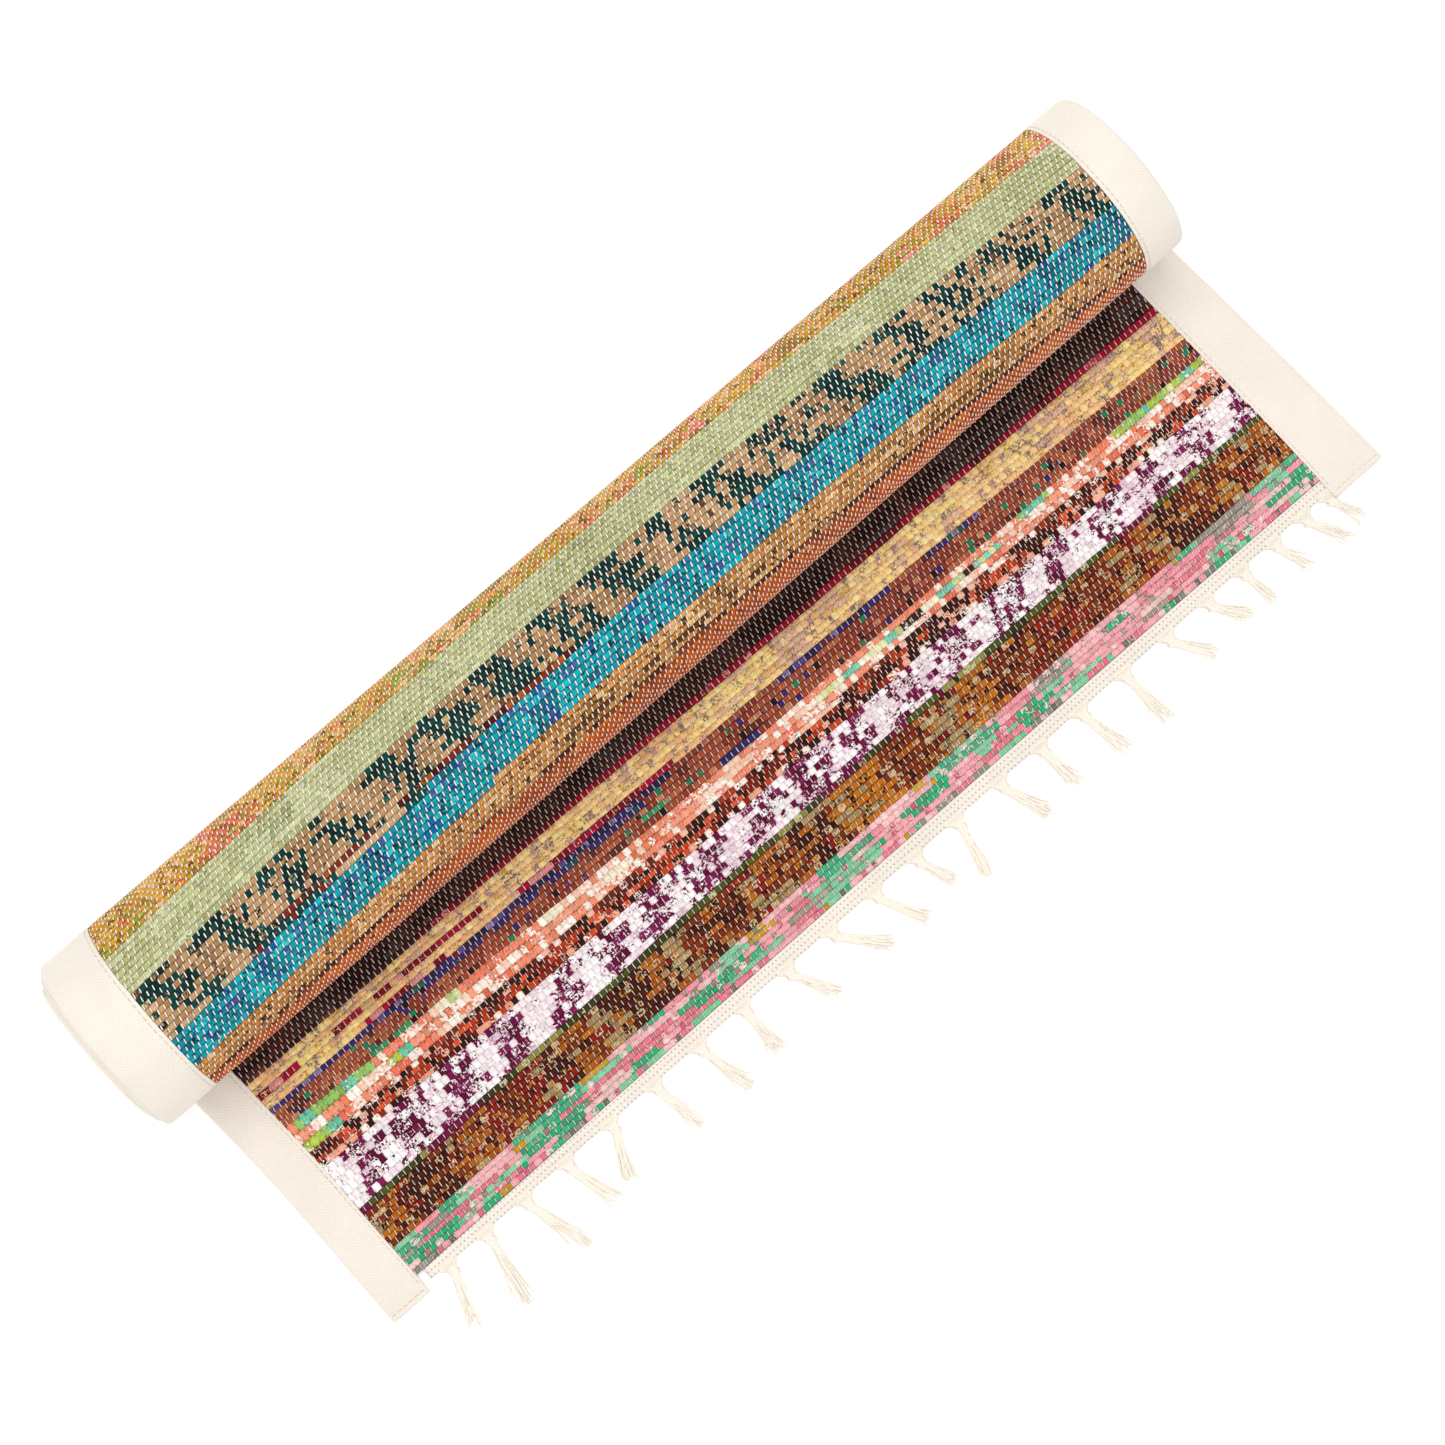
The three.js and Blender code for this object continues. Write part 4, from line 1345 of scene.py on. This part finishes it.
def tassel_lines(number, inner_end):
    """The yarns of one tassel, as lines of (across, along, lift)."""
    random = np.random.default_rng(300 + number + 100 * inner_end)
    middle = KNOT_PLACES[number]
    lean = math.radians(LEANS[number])
    length = TAILS[number] * MM
    floor = -THICKNESS / 2 + 0.6 * MM
    count = 2 * BUNDLES[number] + 3
    lines, thins = [], []
    for yarn_number in range(count):
        place = (yarn_number + 0.5) / count * 2 - 1
        layer = yarn_number % 2
        start = middle + place * (BUNDLES[number] * WARP_PITCH / 2 * 0.42)
        line = [
            (start, 6.5 * MM, floor + (1.35 + 0.2 * layer) * MM),
            (middle + place * 3.4 * MM, 3.6 * MM, floor + (1.3 + 0.5 * layer) * MM),
            (middle + place * NECK, 1.6 * MM, floor + (0.9 + 0.9 * layer) * MM),
            (middle + place * NECK * 0.7, -0.6 * MM, floor + (0.9 + 1.0 * layer) * MM),
        ]
        reach = length * (1.05 - 0.28 * random.random() ** 2)
        spread = random.uniform(0.9, 1.25)
        bend = random.normal(0, 1.1 * MM)
        for step in range(1, TAIL_STEPS + 1):
            share = step / TAIL_STEPS
            distance = TAIL_START + (reach - TAIL_START) * share
            aside = place * (NECK * 0.75 + 1.5 * MM * share * spread) + bend * share * share
            aside += wander([distance + 1], 3.5 * MM, 900 + 31 * number + yarn_number, 0.28 * MM)[0]
            drop = floor + (0.9 + 0.9 * layer) * MM * (1 - share) ** 2 + 0.5 * MM * layer * share
            across = middle + aside * math.cos(lean) + distance * math.sin(lean)
            along = -distance * math.cos(lean) + aside * math.sin(lean)
            line.append((across, along, drop))
        lines.append(line)
        thins.append([0.9] * 4 + [1.0] * (TAIL_STEPS - 3) + [0.85, 0.6, 0.25])
    # The overhand knot: a few yarns side by side, wound once round the bundle.
    for wrap in range(KNOT_YARNS):
        from_middle = wrap - (KNOT_YARNS - 1) / 2
        offset = from_middle * KNOT_PITCH
        bulge = 1 - 0.08 * from_middle ** 2
        ring = []
        for step in range(KNOT_STEPS + 1):
            turn = 2 * math.pi * step / KNOT_STEPS + wrap * 0.9
            aside = math.cos(turn) * (KNOT_RADIUS + 0.5 * MM) * bulge
            height = math.sin(turn) * 1.25 * MM * bulge
            tilt = offset + 0.55 * MM * math.sin(turn + 0.6)
            across = middle + aside * math.cos(lean) + tilt * math.sin(lean)
            along = aside * math.sin(lean) - tilt * math.cos(lean)
            ring.append((across, along, floor + 0.85 * MM + height))
        lines.append(ring)
        thins.append([1.05] * (KNOT_STEPS + 1))
    if inner_end:
        lines = [[(-across, RUG_LENGTH - along, lift) for across, along, lift in line] for line in lines]
    return lines, thins


def tassel(number, inner_end):
    end_name = "inner_end" if inner_end else "free_end"
    name = f"tassel_{end_name}_{number + 1:02d}"
    return rolled(lines_object(*tassel_lines(number, inner_end)), name, warp_yarn, YARN)


free_tassels = [tassel(number, False) for number in range(len(BUNDLES))]
inner_tassels = [tassel(number, True) for number in range(len(BUNDLES))]
print(len(free_tassels), "tassels at each end,", len(free_tassels[0].data.polygons), "faces in the first")

# %% [markdown]
# ## Tying everything to the frame
#
# Pieces at the free end ride on it, pieces that cross the hinge are tied to neither body, and the rest stay
# with the roll. Each piece is shown in place of its plain CAD solid, which is hidden, and the size that each
# stretch of cloth was cut to is printed.

# %% What moves with what
free_pieces = [ground["free_end"], heading_free, dashes["warps_free_end_top"], dashes["warps_free_end_under"],
               *free_tassels]
bent_pieces = [ground["bend"], dashes["warps_bend_top"], dashes["warps_bend_under"],
               bands["left_band_free_end"], bands["right_band_free_end"], *seams_free]
roll_cloth = [ground[stretch] for stretch in ("roll_back", "roll_top", "roll_front", "inner_turns")]
roll_pieces = [*roll_cloth, heading_inner, bands["left_band_roll"], bands["right_band_roll"],
               dashes["warps_roll_back"], dashes["warps_roll_top"], dashes["warps_roll_front"], *seams_roll,
               *inner_tassels]
for piece in free_pieces:
    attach(piece, BODY_FREE)
for piece in bent_pieces:
    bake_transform(piece)
for piece in roll_pieces:
    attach(piece, BODY_ROLL)

# %% What stands for which solid
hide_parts("woven_ground_free_end")
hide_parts("woven_ground_roll")
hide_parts("free_end_header")
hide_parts("inner_end_header")
for name, piece in bands.items():
    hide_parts(name.replace("_band_", "_binding_"))
for number, (free_one, inner_one) in enumerate(zip(free_tassels, inner_tassels), start=1):
    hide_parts(f"free_end_tassel_{number:02d}")
    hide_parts(f"inner_end_tassel_{number:02d}")

# %% The sheets of cloth and their cut sizes
CLOTH_WIDTH = 2 * SELVEDGE


def declare_cloth(piece, first, last):
    size = (CLOTH_WIDTH, stretch_length(first, last))
    print(piece.name, "cut", [round(side / MM) for side in size], "mm")


for stretch, first, last, seen, _, faces in STRETCHES:
    declare_cloth(ground[stretch], first, last)
declare_cloth(ground["inner_turns"], LAST_CUT, ALL_PICKS)
for name, stations, seams in (("free_end", flat_stations, seams_free), ("roll", roll_stations, seams_roll)):
    for side_name in ("left", "right"):
        piece = bands[f"{side_name}_band_{name}"]

# %% [markdown]
# ## Floor, light and camera
#
# The floor is a softly lit white table and the surroundings are nearly white. A large soft lamp hangs
# overhead, a little behind the roll, and a weaker one stands in front, so only the cloth close to the roll
# lies in its shade. The camera looks almost straight down, turned so that the roll runs from corner to
# corner.

# %% Floor
FLOOR_HALF = 6.0
FLOOR_GLOW = 0.14  # a lit table, so the shade on it stays pale


def plain_floor():
    material, _, shader = new_material("matt_white_floor")
    white = opaque("FFFFFF")
    set_shader(shader, Base_Color=white, Emission_Color=white, Emission_Strength=FLOOR_GLOW, Roughness=0.9,
               Specular_IOR_Level=0.1)
    corners = [(-1, -1), (1, -1), (1, 1), (-1, 1)]
    points = [(x * FLOOR_HALF, y * FLOOR_HALF, -0.2 * MM) for x, y in corners]
    sheet = mesh_object("floor", points, faces=[(0, 1, 2, 3)])
    sheet.data.materials.append(material)
    return sheet


floor = plain_floor()

# %% Lights


def soft_lamp(name, place, size, watts):
    data = bpy.data.lights.new(name, "AREA")
    data.shape = "DISK"
    data.size = size
    data.energy = watts
    lamp = new_object(name, data)
    lamp.location = place
    lamp.rotation_euler = (-lamp.location).to_track_quat("-Z", "Y").to_euler()
    return lamp


soft_lamp("lamp_overhead", (-0.7, 0.1, 2.4), 1.8, 24)
soft_lamp("lamp_front", (1.3, -0.8, 2.2), 2.0, 9)
world = bpy.data.worlds.new("white_room")
world.use_nodes = True
world.node_tree.nodes["Background"].inputs["Color"].default_value = (1.0, 1.0, 1.0, 1.0)
world.node_tree.nodes["Background"].inputs["Strength"].default_value = 0.78
bpy.context.scene.world = world
bpy.context.scene.view_settings.view_transform = "Standard"

# %% Camera
CAMERA_PLACE = (-0.0108, -0.1559 + START_SHIFT, 1.7716)
CAMERA_TURN = (0.07624817, -0.03397824, 0.85520112)  # an axis times the angle turned about it, in radians
LENS = 96.1  # millimetres, on a sensor 36 mm wide


def camera_from(place, turn, lens):
    data = bpy.data.cameras.new("camera")
    data.sensor_width = 36
    data.lens = lens
    camera = new_object("camera", data)
    angle = math.sqrt(sum(part * part for part in turn))
    camera.rotation_mode = "AXIS_ANGLE"
    camera.rotation_axis_angle = (angle, *[part / angle for part in turn])
    camera.location = place
    return camera


bpy.context.scene.camera = camera_from(CAMERA_PLACE, CAMERA_TURN, LENS)
